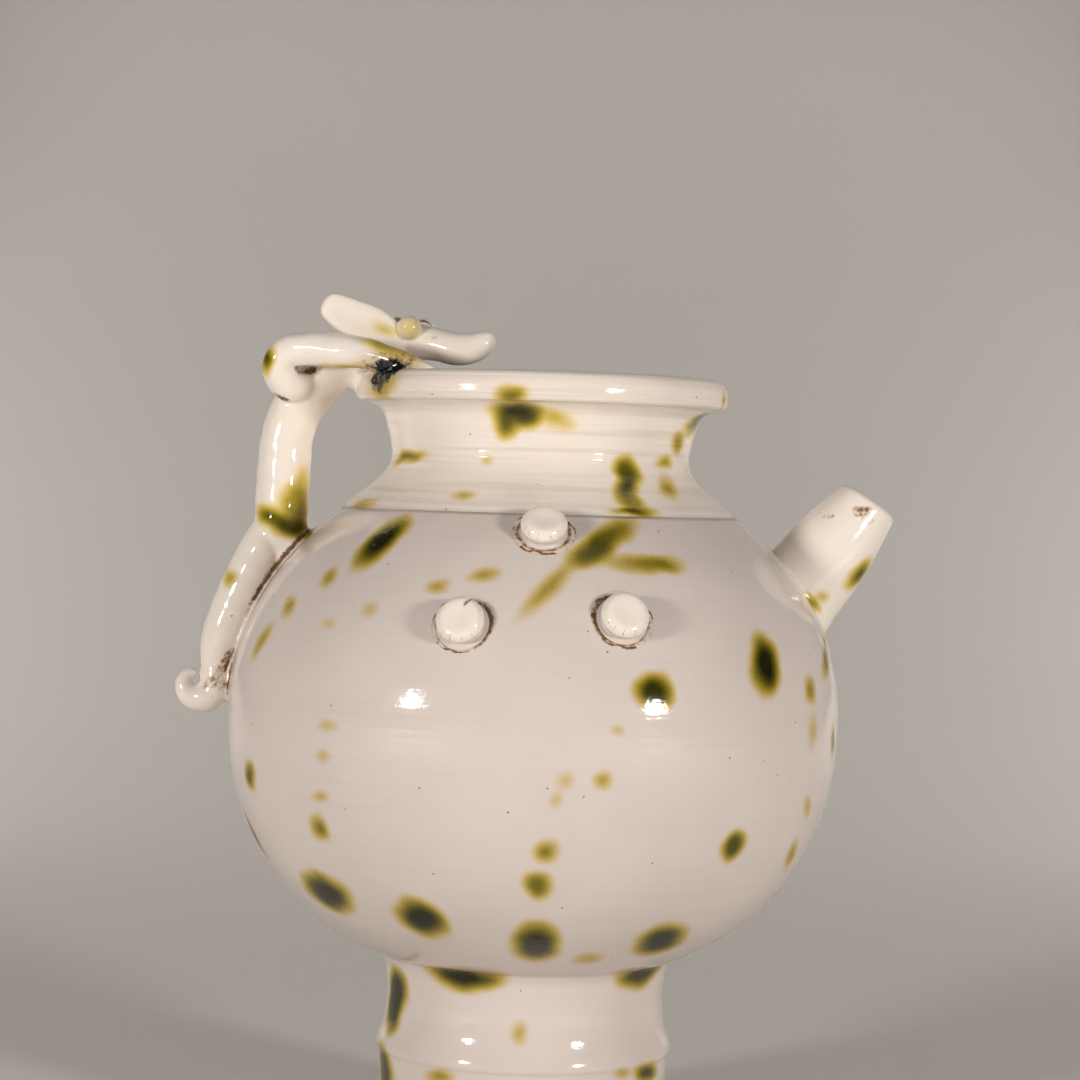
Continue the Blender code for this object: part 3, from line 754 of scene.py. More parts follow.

# %% [markdown]
# ## Dirt, rust, painted shade and the creamier clay of the handle
#
# The glaze is thicker and creamier on the clay that was added by hand, and centuries in the ground left
# brown lines where that clay meets the wall, in its hairline cracks and in a few burst bubbles. A few
# crevices get a dark brown too, as painted shade. These marks follow seams, which the fine meshes of the
# added pieces can carry, so each point of those meshes gets two numbers from nought to one: how creamy
# it is, and how rusty or shaded.


# %% Marks on the points
def points_of(piece):
    """All of a piece's points as an array."""
    found = np.empty(3 * len(piece.data.vertices))
    piece.data.vertices.foreach_get("co", found)
    return found.reshape(-1, 3)


def mark(piece, name, values):
    """Gives each point of a piece a number that its material can read."""
    layer = piece.data.attributes.new(name, "FLOAT", "POINT")
    layer.data.foreach_set("value", np.clip(values, 0.0, 1.0).astype(np.float32))


def bell(value, middle, width):
    """1 where the value is at its middle, in millimetres, and falling away: e^-((v - m) / w)^2."""
    return np.exp(-((value - middle * MM) / (width * MM)) ** 2)


RUST = [
    # x, y, z of the middle in millimetres, half length, half width, tilt in the front view, strength
    (-76.7, -10.8, 222.7, 3.7, 1.8, -63, 0.8), (-69.6, -5.7, 231.4, 3.8, 1.5, 0, 0.8),
    (-95.4, -4.8, 137.2, 2.7, 2.4, 2, 0.5), (-93.3, -4.1, 142, 5.2, 1.8, 62, 0.6),
    (96.1, -10.1, 194.6, 1.8, 1.8, 2, 0.6), (97.6, -10.2, 191.7, 1.6, 1.2, 1, 0.5),
    (85.9, -9, 192.5, 1.3, 1.1, 2, 0.5), (-87.4, -4.2, 156.6, 4, 0.6, 66, 0.8),
    (-89.9, -3.7, 147.5, 7, 0.6, 66, 0.8), (-91.3, -4.3, 137, 6.5, 0.7, 81, 0.8),
    (-33.9, -6.9, 242.2, 1.8, 1, 1, 0.4), (-35.3, 2.8, 247.4, 2.7, 0.7, -19, 0.7),
]


def rusty(points):
    """The strongest of the marks at each point: strength times an S-curve of the distance to its line."""
    value = np.zeros(len(points))
    for x, y, z, long, wide, tilt, strength in RUST:
        ahead = np.array([math.cos(math.radians(tilt)), 0.0, math.sin(math.radians(tilt))])
        offset = points - np.array([x, y, z]) * MM
        along = np.clip(offset @ ahead, -long * MM, long * MM)
        gap = np.linalg.norm(offset - along[:, None] * ahead, axis=1)
        value = np.maximum(value, strength * (1 - smoothstep(0.4 * wide * MM, 1.6 * wide * MM, gap)))
    return value


print("rust spots:", len(RUST))

# %% [markdown]
# On the handle, dirt sits in the seam along the wall, and the crevice between haunch and belly gets a
# darker brown that is painted shade. How far a point lies off the wall tells both.

# %% Marks on the handle and spout
places = points_of(dragon_handle)
lift = wall_distance(*places.T)
below_hip = 1 - smoothstep(178 * MM, 184 * MM, places[:, 2])
seam = bell(lift, 0.5, 0.5) * below_hip
# painted shade: the crevice between haunch and belly goes into the rust mark, darker than the seam's dirt
crevice_painted_shade = bell(lift, 1.0, 1.1) * smoothstep(-0.1 * MM, 0.6 * MM, lift)
crevice_painted_shade *= smoothstep(150 * MM, 168 * MM, places[:, 2])
crevice_painted_shade *= 1 - smoothstep(182 * MM, 187 * MM, places[:, 2])
mark(dragon_handle, "cream", smoothstep(0.1 * MM, 2.2 * MM, lift))
mark(dragon_handle, "rust_and_shade", np.maximum(rusty(places), np.maximum(0.42 * seam, 0.95 * crevice_painted_shade)))

places = points_of(luted_spout)
lift = wall_distance(*places.T)
mark(luted_spout, "cream", smoothstep(0.0, 1.5 * MM, lift))
mark(luted_spout, "rust_and_shade", rusty(places))
print(f"rusty points of the handle: {(np.maximum(seam, crevice_painted_shade) > 0.3).mean():.1%}")

# %% [markdown]
# Round a button lies a broken brown ring, with a smudge below it. The groove at its foot and the hollow
# on its side towards the jar's middle get dirt and painted shade together, and its rounded edge has a
# few fine splits. All of them are functions of two numbers: how far from the button's axis, and which
# way.

# %% Marks on the buttons
across_wall, up_wall, off_wall = button_offsets.T
rho = np.hypot(across_wall, up_wall)
turn = np.arctan2(up_wall, across_wall)
ring = bell(rho, 8.4 + 0.4 * np.sin(5 * turn + 1) + 0.2 * np.sin(11 * turn), 0.5)
smudge = bell(rho, 9.3, 1.9) * smoothstep(-0.5, 0.6, 0.5 - np.sin(turn))
broken = smoothstep(-0.3, 0.5, np.sin(3 * turn + 0.6) + 0.6 * np.sin(7 * turn - 1) - 0.5 * np.sin(turn))
# dirt and painted shade: the groove round the button's foot is darkened brown
groove_dirt_and_shade = bell(rho, 7.3, 0.9) * (1 - smoothstep(0.9 * MM, 2.2 * MM, off_wall))
# dirt and painted shade: the hollow towards the jar's middle, where a lamp's shadow falls, is darkened
# brown
middle_side = np.sign(np.prod(points_of(clay_buttons)[:, :2], axis=1))
inward = across_wall * middle_side / np.maximum(rho, 0.1 * MM)
hollow_dirt_and_shade = bell(rho, 7.8, 1.2) * smoothstep(0.1, 0.8, inward)
hollow_dirt_and_shade *= 1 - smoothstep(1.0 * MM, 2.6 * MM, off_wall)
splits = smoothstep(0.93, 0.99, np.sin(17 * turn + 3 * np.sin(2 * turn)))
splits *= (1 - smoothstep(-0.6, 0.1, np.sin(turn))) * (np.abs(rho - 6.2 * MM) < 0.6 * MM)
splits *= smoothstep(2.4 * MM, 3.4 * MM, off_wall)
mark(clay_buttons, "cream", smoothstep(0.8 * MM, 3 * MM, off_wall))
dirt_and_painted_shade = [0.95 * ring * broken, 0.5 * smudge, 0.72 * groove_dirt_and_shade, 0.85 * hollow_dirt_and_shade, 0.7 * splits]
mark(clay_buttons, "rust_and_shade", np.max(dirt_and_painted_shade, axis=0))
print("marks:", [layer.name for layer in clay_buttons.data.attributes if layer.name in ("cream", "rust_and_shade")])

# %% [markdown]
# ## The glaze
#
# Over the white clay lies a clear lead-alkaline glaze, fired to a hard gloss: IOR 1.5, almost no
# roughness, and a little light carried under the skin. Copper and iron splashed into it melted to soft
# spots: a nearly black green where the glaze is thick, olive at the edge, and straw yellow where it is
# thin. So one number, the thickness of the splash, drives a colour ramp.
#
# A painted image could hold the spots, but numbers keep them sharp at any size. Each spot is a stretched
# ball in space, cut by the wall: two nodes turn, scale and move the Object coordinates so that the
# spot's edge lies at length 1, and the thickness falls off smoothly round there. A shared noise bends
# all the outlines a little, as the melting glaze did.

# %% Splashes on the turned jar
SPLASHES = [
    # azimuth in degrees, height, half length and half width in millimetres, tilt in degrees, thickness
    (-129.9, 182.4, 10.9, 6.2, 74, 1), (-138.8, 171.5, 3.2, 3.9, 53, 0.42),
    (-123.7, 163.3, 3.1, 2.6, 3, 0.2), (-132.7, 159, 3.2, 2.3, 3, 0.15),
    (-147.7, 162.9, 3.5, 4.6, 49, 0.42), (-153.1, 152.7, 7, 3.9, 57, 0.4),
    (-101, 174.4, 4.7, 2.8, 21, 0.42), (-110.1, 170.7, 4, 2.8, 14, 0.36),
    (-74, 184.5, 15, 4.6, 40, 0.74), (-78, 181.1, 7.6, 5.2, 26, 0.5), (-87.6, 171.6, 12, 3.2, 50, 0.46),
    (-66.8, 178.7, 12.6, 3.4, -1, 0.5), (-61, 178.8, 7, 3.5, -1, 0.48),
    (-68.8, 144.3, 6.2, 5.7, 0, 0.95), (-42.8, 151.1, 9.6, 6.7, 68, 1),
    (-29.2, 143.4, 4.5, 4.1, 60, 0.5), (-28.7, 131.7, 5.7, 3.6, 89, 0.22),
    (-14, 151.9, 11.4, 3, 25, 0.85), (-15.5, 127.3, 5.2, 3.6, -78, 0.95),
    (-26.9, 109.5, 2.7, 4.9, 45, 0.28), (-26.3, 95.2, 3.5, 5.9, 30, 0.45),
    (-48.8, 101, 5.1, 5.2, -88, 0.85), (-75.3, 133.5, 2, 1.6, 0, 0.18),
    (-77.8, 120.4, 2.8, 2.5, 0, 0.38), (-84.1, 119.7, 2.7, 2.5, 1, 0.2),
    (-85.4, 114.8, 2.8, 1.9, 73, 0.16), (-86.8, 100.2, 3.8, 3.7, 2, 0.6), (-88, 90.2, 4.4, 4.8, 2, 0.7),
    (-87.5, 71.7, 7.2, 11.2, 3, 1), (-113.8, 78, 8.1, 8.7, 1, 1), (-138.3, 81.9, 8.1, 11.1, -85, 1),
    (-132.4, 102.2, 4.6, 3.6, 62, 0.65), (-130.8, 111, 3.6, 2.1, 6, 0.28),
    (-129.3, 122.9, 3.5, 2, 5, 0.2), (-128.3, 131.1, 3.8, 1.9, 4, 0.2),
    (-154.1, 113.6, 5, 4.1, 49, 0.8), (-163.1, 95.1, 7.9, 3, -62, 0.95), (-55.1, 72, 7.9, 10.1, 45, 1),
    (-73, 66.7, 4.6, 4.5, 10, 0.3), (-113.9, 57.6, 13.4, 4.7, -1, 1), (-38, 57.8, 11.4, 4.7, 0, 0.95),
    (-155.4, 49.4, 6.9, 8.1, -43, 1), (-158.9, 43, 7.4, 6.9, 51, 0.95), (-91.7, 42.3, 2.6, 3.4, 2, 0.3),
    (-162.3, 25, 8.4, 8, 33, 0.9), (-32.4, 28.5, 7.7, 3.7, -9, 0.95), (-123.6, 27.9, 5.1, 2.4, 8, 0.5),
    (-48.3, 29.9, 3.3, 2, -7, 0.3), (-99.1, 224.2, 5, 3, 2, 0.75), (-99.4, 220.5, 7.6, 4.4, 2, 1),
    (-102.5, 216.3, 4.4, 4.2, 78, 0.8), (-95.7, 219.2, 5.6, 4, 2, 0.8),
    (-85.3, 218.6, 6.3, 3.6, -24, 0.38), (-109.9, 205.9, 2.4, 1.8, 2, 0.22),
    (-113.5, 196, 3.7, 2.9, 3, 0.36), (-150.2, 206.5, 9.9, 2.3, 7, 0.8),
    (-153.6, 192.1, 8.3, 2.2, 6, 0.6), (-56.9, 204.5, 4.8, 4.7, 66, 0.8), (-59, 199.7, 8.7, 3.7, 48, 1),
    (-60.8, 195.2, 4.7, 5.4, 2, 0.6), (-36, 207, 4.8, 2.4, 1, 0.5), (-40.8, 199.7, 6.1, 3.3, 43, 0.5),
    (-13.5, 219.8, 10.1, 4.2, 17, 0.9), (-27.7, 213, 3.5, 4.3, 86, 0.6),
    (-15.2, 225.5, 3.1, 3, 75, 0.5), (-61.9, 192.9, 7.8, 1.5, -1, 0.8),
]
BACK_SPLASHES = [
    (62, 168, 9, 6, 70, 0.95), (118, 150, 7, 6, 80, 0.9), (88, 118, 6, 5, 0, 0.55),
    (140, 96, 8, 6, -60, 1.0), (48, 92, 8, 6, 40, 0.95), (100, 72, 9, 6, 4, 1.0),
    (72, 205, 6, 3.5, 80, 0.8), (128, 222, 6, 3, 0, 0.85), (20, 108, 6, 5, 85, 0.7),
    (165, 122, 6, 4, 80, 0.5), (70, 45, 7, 5, 75, 0.9), (150, 30, 6, 4, 0, 0.8),
    (100, 180, 10, 3, 30, 0.7), (30, 205, 5, 3, 80, 0.4), (112, 52, 5, 3, 10, 0.35),
]
CLAY_SPLASHES = [
    # x, y, z of the middle, half length, half width in millimetres, tilt in the front view, thickness
    (-80.5, -7, 188.2, 5.5, 2.8, -25, 0.85), (-74, -6, 184.9, 8.5, 3.4, -10, 0.9),
    (-68.5, -5.5, 186.5, 6, 5, 60, 0.62), (-72, -6.4, 192, 8, 6.2, 63, 0.52),
    (-70.5, -4.5, 198, 6, 4.6, 82, 0.25), (-91.8, -5.1, 169, 3.1, 2.9, 51, 0.45),
    (-81.5, -15, 233.9, 4.4, 2.6, 82, 0.9), (-59.4, -20.5, 231.9, 13.7, 1.8, 2, 0.6),
    (-43, -28.6, 237.1, 8.7, 3, -19, 0.3), (-48.2, -25.4, 239.4, 6.1, 2.3, -11, 0.4),
    (-47.3, -7, 244.2, 4.2, 2.4, -28, 0.25), (-47.6, -28.3, 224.8, 6.3, 2.4, -2, 0.35),
    (-45.5, -31.9, 227, 9, 2.9, -1, 0.3), (95.1, -6.2, 175.8, 6.5, 3, 45, 0.95),
    (81.5, -13.1, 166.7, 3.8, 1.6, -57, 0.6), (84.5, -12.3, 168.6, 2.8, 2, 31, 0.3),
    (-39.5, -9.3, 245.2, 5.2, 4.6, 4, 0.2), (-49, -14, 243, 9, 3, -14, 0.2),
    # the first splash here, at -66, -10, 181.5 mm, darkens the corner between handle and belly: partly
    # olive glaze, partly painted shade
    (-66, -10, 181.5, 5, 2.6, -35, 0.55), (-82, 9, 236, 5, 3, 70, 0.7), (90, 8, 180, 5, 3, 30, 0.6),
]
print("splashes on the jar and on added clay:", len(SPLASHES + BACK_SPLASHES), len(CLAY_SPLASHES))

# %% [markdown]
# A row on the turned jar gives an azimuth and a height, so its ball is laid flat on the wall there. A
# row on the added clay gives its place in space and faces the front. A small splash gets a softer edge,
# because the melt spreads by about the same 2.5 mm everywhere. The glaze thins out from 1 - 1.45 soft
# to 1 + 0.55 soft, where 1 is the ball's skin and soft is how soft its edge is.

# %% Lay the splashes out
RIM_WIDEST_Z = 226.5 * MM
NEARBY = 3.5 * MM
EDGE_INWARDS, EDGE_OUTWARDS = 1.45, 0.55
ON_JAR, ON_CLAY = (5, 2.6), (6, 2.2)  # half depth of the balls and spread of their edges, in millimetres
FACING_FRONT = Matrix(((1, 0, 0), (0, 0, 1), (0, -1, 0)))  # its rows: right, up and out


def outer_radius(height):
    """The turned jar's radius at a height, read off its outer side."""
    start = int(np.argmin(np.abs(outer_side[:, 1] - RIM_WIDEST_Z) + (outer_side[:, 0] < 50 * MM)))
    falling = outer_side[start:]
    return float(np.interp(height, falling[::-1, 1], falling[::-1, 0]))


def splash_balls():
    """Every splash as (place, turn, half axes, softness of its edge, thickness).

    The turn lays X along the tilted direction and Z straight out of the wall.
    """
    rows = []
    for azimuth, height, *rest in SPLASHES + BACK_SPLASHES:
        place, *axes = wall_frame(azimuth, height, outer_radius, 0.4 * MM)
        rows.append((Vector(place), Matrix(axes), *ON_JAR, *rest))
    for x, y, z, *rest in CLAY_SPLASHES:
        rows.append((Vector((x, y, z)) * MM, FACING_FRONT, *ON_CLAY, *rest))
    balls = []
    for place, axes, depth, spread, long, wide, tilt, thickness in rows:
        turn = axes.transposed() @ Matrix.Rotation(math.radians(tilt), 3, "Z")
        soft = min(0.75, max(0.5, spread / min(long, wide)))
        balls.append((place, turn, (long * MM, wide * MM, depth * MM), soft, thickness))
    return balls


print("balls:", len(splash_balls()))

# %% [markdown]
# A hundred balls in a material are slow to work out, and most of the jar lies near none of them. So one
# more mark on the points says where a splash is near, and the material asks it first.


# %% Mark what lies near a splash
def near_splashes(points):
    """One for points within 3.5 mm of a splash's faintest edge, nought for all others."""
    near = np.zeros(len(points), bool)
    for place, turn, half_axes, soft, _ in splash_balls():
        local = (points - np.array(place)) @ np.array(turn)
        reach = np.array(half_axes) * (1 + EDGE_OUTWARDS * soft) + NEARBY
        near |= ((local / reach) ** 2).sum(axis=1) < 1
    return near


for piece in PIECES:
    near = near_splashes(points_of(piece))
    mark(piece, "near_splash", near)
    print(piece.name, "has", f"{near.mean():.0%}", "of its points near a splash")

# %% [markdown]
# One function adds a node: its kind, what goes into its inputs, which of its outputs is wanted, and its
# settings. The settings that come back often get a name. Colours are written as the hex values that a
# screen shows, and one function turns them into linear light.


# %% Node helpers
def linear(code):
    """A hex colour in linear light, with alpha: ((c + 0.055) / 1.055)^2.4 for all but the darkest."""
    channels = [int(code[k : k + 2], 16) / 255 for k in (1, 3, 5)]
    return (*[c / 12.92 if c <= 0.04045 else ((c + 0.055) / 1.055) ** 2.4 for c in channels], 1.0)


def add_node(tree, kind, inputs=(), output=0, **settings):
    """Adds a node and returns one of its outputs.

    inputs is a row in the sockets' order, or a dictionary by the sockets' names or numbers. Each entry
    is a value, or another node's output, which is then linked.
    """
    node = tree.nodes.new("ShaderNode" + kind)
    for name, value in settings.items():
        setattr(node, name, value)
    for key, value in inputs.items() if isinstance(inputs, dict) else enumerate(inputs):
        if isinstance(value, bpy.types.NodeSocket):
            tree.links.new(value, node.inputs[key])
        else:
            node.inputs[key].default_value = value
    return node.outputs[output] if node.outputs else None


LESS, TIMES, TIMES_PLUS = ({"operation": name} for name in ("SUBTRACT", "MULTIPLY", "MULTIPLY_ADD"))
LARGER, SOFT = {"operation": "MAXIMUM"}, {"interpolation_type": "SMOOTHSTEP"}
TINTED = {"output": 2, "data_type": "RGBA"}  # a Mix node's colours are inputs 6 and 7 and output 2

# %% [markdown]
# The material starts with the places that its patterns read: Object coordinates, the height, and the
# marks on the points. A noise with features 7 mm wide bends the places by up to about 0.6 mm.

# %% Start the glaze
porcelain = bpy.data.materials.new("splashed_glazed_porcelain")
porcelain.use_nodes = True
glaze = porcelain.node_tree
glaze.nodes.clear()
place = add_node(glaze, "TexCoord", output="Object")
height = add_node(glaze, "SeparateXYZ", (place,), "Z")
cream = add_node(glaze, "Attribute", output="Fac", attribute_name="cream")
rust_and_shade = add_node(glaze, "Attribute", output="Fac", attribute_name="rust_and_shade")
swirl = add_node(glaze, "TexNoise", {"Vector": place, "Scale": 1000 / 7, "Detail": 0.5}, "Color")
shift = add_node(glaze, "VectorMath", (swirl, (0.5, 0.5, 0.5)), **LESS)
bent = add_node(glaze, "VectorMath", (shift, (0.0025, 0.0025, 0.0025), place), **TIMES_PLUS)


def ball_length(middle, turn, half_axes):
    """Length of p - middle, turned back and divided by the half axes: 1 on the ball's skin."""
    inputs = {"Vector": bent, "Center": middle, "Rotation": turn.to_euler("XYZ")}
    turned = add_node(glaze, "VectorRotate", inputs, rotation_type="EULER_XYZ", invert=True)
    inverse = [1 / axis for axis in half_axes]
    moved = [-c * f for c, f in zip(middle, inverse)]
    stretched = add_node(glaze, "VectorMath", (turned, inverse, moved), **TIMES_PLUS)
    return add_node(glaze, "VectorMath", (stretched,), "Value", operation="LENGTH")


def ragged(value, size, amount, detail=2.0):
    """The value plus (noise - 0.5) times an amount, with noise that has features size mm wide."""
    noise = add_node(glaze, "TexNoise", {"Vector": place, "Scale": 1000 / size, "Detail": detail})
    centred = add_node(glaze, "Math", (noise, 0.5), **LESS)
    return add_node(glaze, "Math", (centred, amount, value), **TIMES_PLUS)


print("glaze started:", len(glaze.nodes), "nodes")

# %% [markdown]
# Where two splashes meet on the jar, they run into one. Each lets some of the clear glaze through, so
# those shares are multiplied, and the thickness is what is left: 1 - (1 - a)(1 - b)(1 - c) and so on. A
# fine grain breaks up the half-thick edges alone, because thickness times what is left is greatest
# there.

# %% The splashes' thickness
clear_share = 1.0
for middle, turn, half_axes, soft, strength in splash_balls():
    length = ball_length(middle, turn, half_axes)
    inputs = (length, 1 - EDGE_INWARDS * soft, 1 + EDGE_OUTWARDS * soft, 1 - strength, 1.0)
    share = add_node(glaze, "MapRange", inputs, **SOFT)
    clear_share = add_node(glaze, "Math", (clear_share, share), **TIMES)
thickness = add_node(glaze, "Math", (1.0, clear_share), **LESS)
rest = add_node(glaze, "Math", (1.0, thickness), **LESS)
edge = add_node(glaze, "Math", (thickness, rest), **TIMES)
thickness = ragged(thickness, 0.9, add_node(glaze, "Math", (edge, 0.5), **TIMES), 1.0)
print("splashes:", len(splash_balls()))

# %% [markdown]
# The clear glaze takes its tone from what lies under it: cool and mottled on the belly, creamier on the
# added clay and on the neck, where it ran thin. The potter's fingers rode up the wall and left faint
# rings 1.7 mm apart, closest on the neck, in which the glaze pools a little darker.

# %% The clear glaze
mottling = add_node(glaze, "TexNoise", {"Vector": place, "Scale": 1000 / 26, "Detail": 3.0})
clear = add_node(glaze, "Mix", {0: mottling, 6: linear("#d5c9c3"), 7: linear("#dfd4cd")}, **TINTED)
above = add_node(glaze, "MapRange", (height, 0.191, 0.196, 0.0, 1.0), **SOFT)
neck = add_node(glaze, "Math", (above, 0.8), **TIMES)
creamy = add_node(glaze, "Math", (cream, neck), **LARGER)
clear = add_node(glaze, "Mix", {0: creamy, 6: clear, 7: linear("#f3e9de")}, **TINTED)

rings_place = add_node(glaze, "Mapping", {"Vector": place, "Scale": (0.02, 0.02, 1.0)})
thrown = add_node(glaze, "TexNoise", {"Vector": rings_place, "Scale": 1000 / 1.7, "Detail": 2.0})
upper = add_node(glaze, "MapRange", (height, 0.185, 0.2, 0.2, 1.0), **SOFT)
turned = add_node(glaze, "Math", (upper, cream), use_clamp=True, **LESS)
hollows = add_node(glaze, "MapRange", (thrown, 0.5, 0.3, 0.0, 1.0), **SOFT)
pooled = add_node(glaze, "Math", (hollows, turned), **TIMES)
pooled = add_node(glaze, "Math", (pooled, 0.22), **TIMES)
clear = add_node(glaze, "Mix", {0: pooled, 6: clear, 7: linear("#b7a184")}, **TINTED)
print("clear glaze:", len(glaze.nodes), "nodes so far")

# %% [markdown]
# Kiln ash left a blue-black scum with pale crystals on the rim beside the forepaw, in a halo of amber.
# It is one more ball in space, with a ragged edge.

# %% Kiln ash
ash_place = Vector((-46.3, -28.6, 230.6)) * MM
ash_length = ball_length(ash_place, Matrix.Rotation(-0.38, 3, "Y"), (8.8 * MM, 7 * MM, 4.8 * MM))
ash = add_node(glaze, "MapRange", (ragged(ash_length, 2.2, 1.1), 0.7, 1.1, 1.0, 0.0), **SOFT)
halo = add_node(glaze, "MapRange", (ash_length, 0.8, 2.1, 0.55, 0.0), **SOFT)
speckle = add_node(glaze, "TexNoise", {"Vector": place, "Scale": 1000 / 1.6, "Detail": 2.0})
crystals = add_node(glaze, "MapRange", (speckle, 0.58, 0.7, 0.0, 0.8), **SOFT)
colour = add_node(glaze, "Mix", {0: halo, 6: clear, 7: linear("#b89a48")}, **TINTED)
scum = add_node(glaze, "Mix", {0: crystals, 6: linear("#101319"), 7: linear("#8f979c")}, **TINTED)
colour = add_node(glaze, "Mix", {0: ash, 6: colour, 7: scum}, **TINTED)
print("kiln ash:", len(glaze.nodes), "nodes so far")

# %% [markdown]
# Bubbles that burst left pinholes, drawn 0.5 mm wide so that they show: a Voronoi pattern has a middle
# in every 5 mm cell, and the cell's own random colour picks about one cell in four. The rust, and the
# painted shade in crevices, read their mark from the points; thin, it is orange, and thick, it is dark
# brown. The foot's ring was wiped clean before the firing, so bare clay shows there, matt and a little
# darker.

# %% Pinholes, rust with painted shade, and the bare ring
cell_colour = add_node(glaze, "TexVoronoi", {"Vector": place, "Scale": 1000 / 5}, "Color")
cell_red = add_node(glaze, "SeparateColor", (cell_colour,))
chosen = add_node(glaze, "MapRange", (cell_red, 0.70, 0.72, 0.0, 1.0), **SOFT)
from_middle = cell_colour.node.outputs["Distance"]
dot = add_node(glaze, "MapRange", (from_middle, 0.035, 0.07, 1.0, 0.0), **SOFT)
hole = add_node(glaze, "Math", (dot, chosen), **TIMES)
# the rust mark also holds painted shade in crevices, so these same browns paint that shade as well
stain_and_shade = add_node(glaze, "MapRange", (ragged(rust_and_shade, 1.3, 1.1, 3.0), 0.25, 0.95, 0.0, 1.0), **SOFT)
rust_and_shade_hue = add_node(glaze, "Mix", {0: stain_and_shade, 6: linear("#c99c6e"), 7: linear("#634a2c")}, **TINTED)
bare = add_node(glaze, "MapRange", (ragged(height, 14, 0.006), 0.0035, 0.0045, 1.0, 0.0), **SOFT)
grit = add_node(glaze, "TexNoise", {"Vector": place, "Scale": 1000 / 3, "Detail": 4.0})
bare_hue = add_node(glaze, "Mix", {0: grit, 6: linear("#b8a88f"), 7: linear("#d0c2ab")}, **TINTED)
for cover, share, hue in ((hole, 0.75, linear("#4d3a2c")), (stain_and_shade, 1.3, rust_and_shade_hue), (bare, 1.0, bare_hue)):
    cover = add_node(glaze, "Math", (cover, share), use_clamp=True, **TIMES)
    colour = add_node(glaze, "Mix", {0: cover, 6: colour, 7: hue}, **TINTED)
print("pinholes, rust and ring:", len(glaze.nodes), "nodes so far")

# %% [markdown]
# The relief adds up in millimetres: the thrown rings, a slow waviness 16 mm long, the fine peel of the
# glaze, and the pinholes, which go inwards. The gloss is nearly perfect, apart from the rust and the
# bare ring.

# %% Relief and gloss
thrown_rings = add_node(glaze, "Math", (thrown, turned), **TIMES)
waves = add_node(glaze, "TexNoise", {"Vector": place, "Scale": 1000 / 16, "Detail": 1.0})
peel = add_node(glaze, "TexNoise", {"Vector": place, "Scale": 1000 / 1.4, "Detail": 1.0})
relief = 0.0
for form, depth in ((thrown_rings, 0.28), (waves, 0.30), (peel, 0.03), (hole, -0.15)):
    relief = add_node(glaze, "Math", (form, depth, relief), **TIMES_PLUS)
bump = add_node(glaze, "Bump", {"Height": relief, "Distance": MM, "Strength": 1.0})
bare_gloss = add_node(glaze, "Math", (bare, 0.7), **TIMES)
rust_gloss = add_node(glaze, "Math", (stain_and_shade, 0.65, 0.085), **TIMES_PLUS)
roughness = add_node(glaze, "Math", (bare_gloss, rust_gloss), **LARGER)
print("relief and gloss:", len(glaze.nodes), "nodes so far")

# %% [markdown]
# The ramp goes from clear through straw and olive to nearly black green, and its colour multiplies the
# clear glaze's, as a coloured glass does. The hundred splashes cost time wherever they are worked out,
# so there are two surfaces, and near_splash chooses: away from all splashes the first one is used, and
# the renderer skips what feeds only the second. Both look the same there, so no seam shows.

# %% The two surfaces
STOPS = [
    (0.0, "#ffffff"), (0.12, "#f5ebc2"), (0.3, "#ddcb72"), (0.52, "#aca235"), (0.78, "#6b6817"),
    (1.0, "#262702"),
]
tint = add_node(glaze, "ValToRGB", (thickness,))
ramp = tint.node.color_ramp
while len(ramp.elements) < len(STOPS):
    ramp.elements.new(0.5)
for element, (position, code) in zip(ramp.elements, STOPS):
    element.position = position
    element.color = linear(code)
splashed = add_node(glaze, "Mix", {0: 1.0, 6: colour, 7: tint}, blend_type="MULTIPLY", **TINTED)
nearby = add_node(glaze, "Attribute", output="Fac", attribute_name="near_splash")
switch = add_node(glaze, "Math", (nearby, 0.0), operation="GREATER_THAN")
surfaces = [
    add_node(glaze, "BsdfPrincipled", {
        "Base Color": base_colour, "Roughness": roughness, "Normal": bump, "IOR": 1.5,
        "Subsurface Weight": 0.1, "Subsurface Radius": (1.0, 0.75, 0.55), "Subsurface Scale": 0.0015,
    })
    for base_colour in (colour, splashed)
]
surface = add_node(glaze, "MixShader", (switch, *surfaces))
add_node(glaze, "OutputMaterial", {"Surface": surface})
for piece in PIECES:
    piece.data.materials.clear()
    piece.data.materials.append(porcelain)
print("porcelain:", len(glaze.nodes), "nodes")

# %% [markdown]
# ## The studio
#
# The jar is seen from a little below its mouth through a long lens, which keeps its outline nearly free
# of perspective, and the camera leans by under two degrees. Its place and aim are given in metres, and
# one function turns it, and the lamps after it, towards their aim.

# %% Camera
CAMERA_PLACE = Vector((0.0006, -0.870, 0.1995))
CAMERA_AIM = Vector((0.0006, 0.0, 0.183))
CAMERA_ROLL = math.radians(1.7)


def aimed(thing, place, aim, roll=0.0):
    """Turns a camera or light, whose own -Z looks ahead, from its place to its aim."""
    ahead = (aim - place).normalized()
    right = ahead.cross(Vector((0, 0, 1))).normalized()
    up = right.cross(ahead)
    leaning_right = right * math.cos(roll) + up * math.sin(roll)
    leaning_up = up * math.cos(roll) - right * math.sin(roll)
    turn = Matrix((leaning_right, leaning_up, -ahead)).transposed().to_4x4()
    thing.matrix_world = Matrix.Translation(place) @ turn


camera_data = bpy.data.cameras.new("studio_camera")
camera_data.lens = 96.67
camera_data.sensor_width = 36.0
camera = bpy.data.objects.new("studio_camera", camera_data)
bpy.context.scene.collection.objects.link(camera)
aimed(camera, CAMERA_PLACE, CAMERA_AIM, CAMERA_ROLL)
bpy.context.scene.camera = camera
print("camera ready")

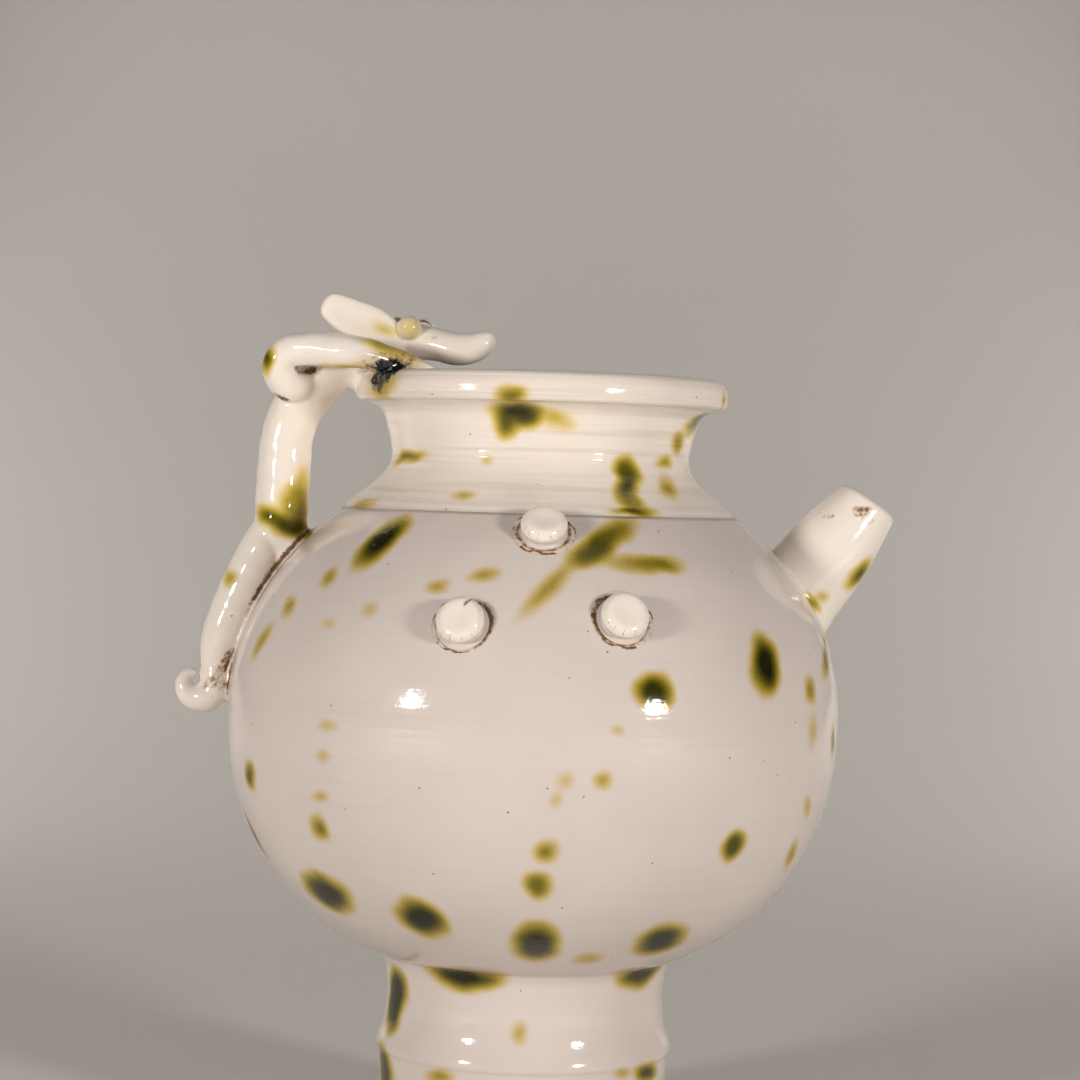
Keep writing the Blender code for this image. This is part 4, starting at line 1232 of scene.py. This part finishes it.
# %% [markdown]
# Two round lamps stand left and right of the camera: each leaves one small bright spot on the belly, and
# each button throws two shadows. Two weaker lamps light the back without a reflection, and a wide one
# overhead fills in. Porcelain is light already, so the plain Standard view keeps its whites.

# %% Lights
LAMP_COLOUR = (1.0, 0.95, 0.90)


def soft_box(name, azimuth, height, distance, width, tall, power, shape="ELLIPSE"):
    """A flat lamp at an azimuth from the camera's side, aimed at the jar's middle."""
    turn = math.radians(azimuth - 90)
    place = Vector((distance * math.cos(turn), distance * math.sin(turn), height))
    data = bpy.data.lights.new(name, "AREA")
    data.shape, data.size, data.size_y = shape, width, tall
    data.energy, data.color = power, LAMP_COLOUR
    light = bpy.data.objects.new(name, data)
    bpy.context.scene.collection.objects.link(light)
    aimed(light, place, Vector((0, 0, 0.14)))
    return light


for name, azimuth in (("left_lamp", -44), ("right_lamp", 44)):
    soft_box(name, azimuth, 0.30, 1.2, 0.17, 0.17, 8.0)
for name, azimuth in (("left_back_lamp", -140), ("right_back_lamp", 140)):
    soft_box(name, azimuth, 0.45, 1.2, 0.5, 0.5, 3.0).visible_glossy = False
soft_box("top_box", 0, 1.6, 0.5, 1.4, 1.0, 1.2, "RECTANGLE")
bpy.context.scene.view_settings.view_transform = "Standard"

world = bpy.data.worlds.new("studio")
bpy.context.scene.world = world
world.use_nodes = True
world.node_tree.nodes["Background"].inputs["Color"].default_value = (0.9, 0.92, 1.0, 1.0)
world.node_tree.nodes["Background"].inputs["Strength"].default_value = 0.045

# %% [markdown]
# The floor is a sheet of pale paper that runs flat under the jar and curves up behind it, so no edge
# shows. It is a profile again, this time drawn out sideways.

# %% Floor
FLOOR_DEPTH, BEND_RADIUS, BACK_HEIGHT = 0.7, 0.5, 2.4
bend = np.linspace(0, np.pi / 2, 24)
sweep = np.vstack([
    [(-2.5, 0.0)],
    np.column_stack([FLOOR_DEPTH + BEND_RADIUS * np.sin(bend), BEND_RADIUS * (1 - np.cos(bend))]),
    [(FLOOR_DEPTH + BEND_RADIUS, BACK_HEIGHT)],
])
sides = np.array([-3.0, 3.0])
sweep_points = np.stack([
    sides[None, :] + 0 * sweep[:, :1], sweep[:, :1] + 0 * sides[None, :], sweep[:, 1:] + 0 * sides[None, :]
], axis=-1).reshape(-1, 3)
floor = new_piece("studio_sweep", sweep_points, grid_faces(len(sweep), 2, closed=False))


def studio_paper():
    """Matt seamless paper, a pale warm grey with a faint cloudiness."""
    material = bpy.data.materials.new("studio_paper")
    material.use_nodes = True
    tree = material.node_tree
    place = add_node(tree, "TexCoord", output="Object")
    cloud = add_node(tree, "TexNoise", {"Vector": place, "Scale": 3.0})
    tint = add_node(tree, "Mix", {0: cloud, 6: linear("#d8d5d0"), 7: linear("#dedbd6")}, **TINTED)
    surface = tree.nodes["Principled BSDF"]
    tree.links.new(tint, surface.inputs["Base Color"])
    surface.inputs["Roughness"].default_value = 0.9
    return material


floor.data.materials.append(studio_paper())
print("floor:", len(floor.data.polygons), "faces")
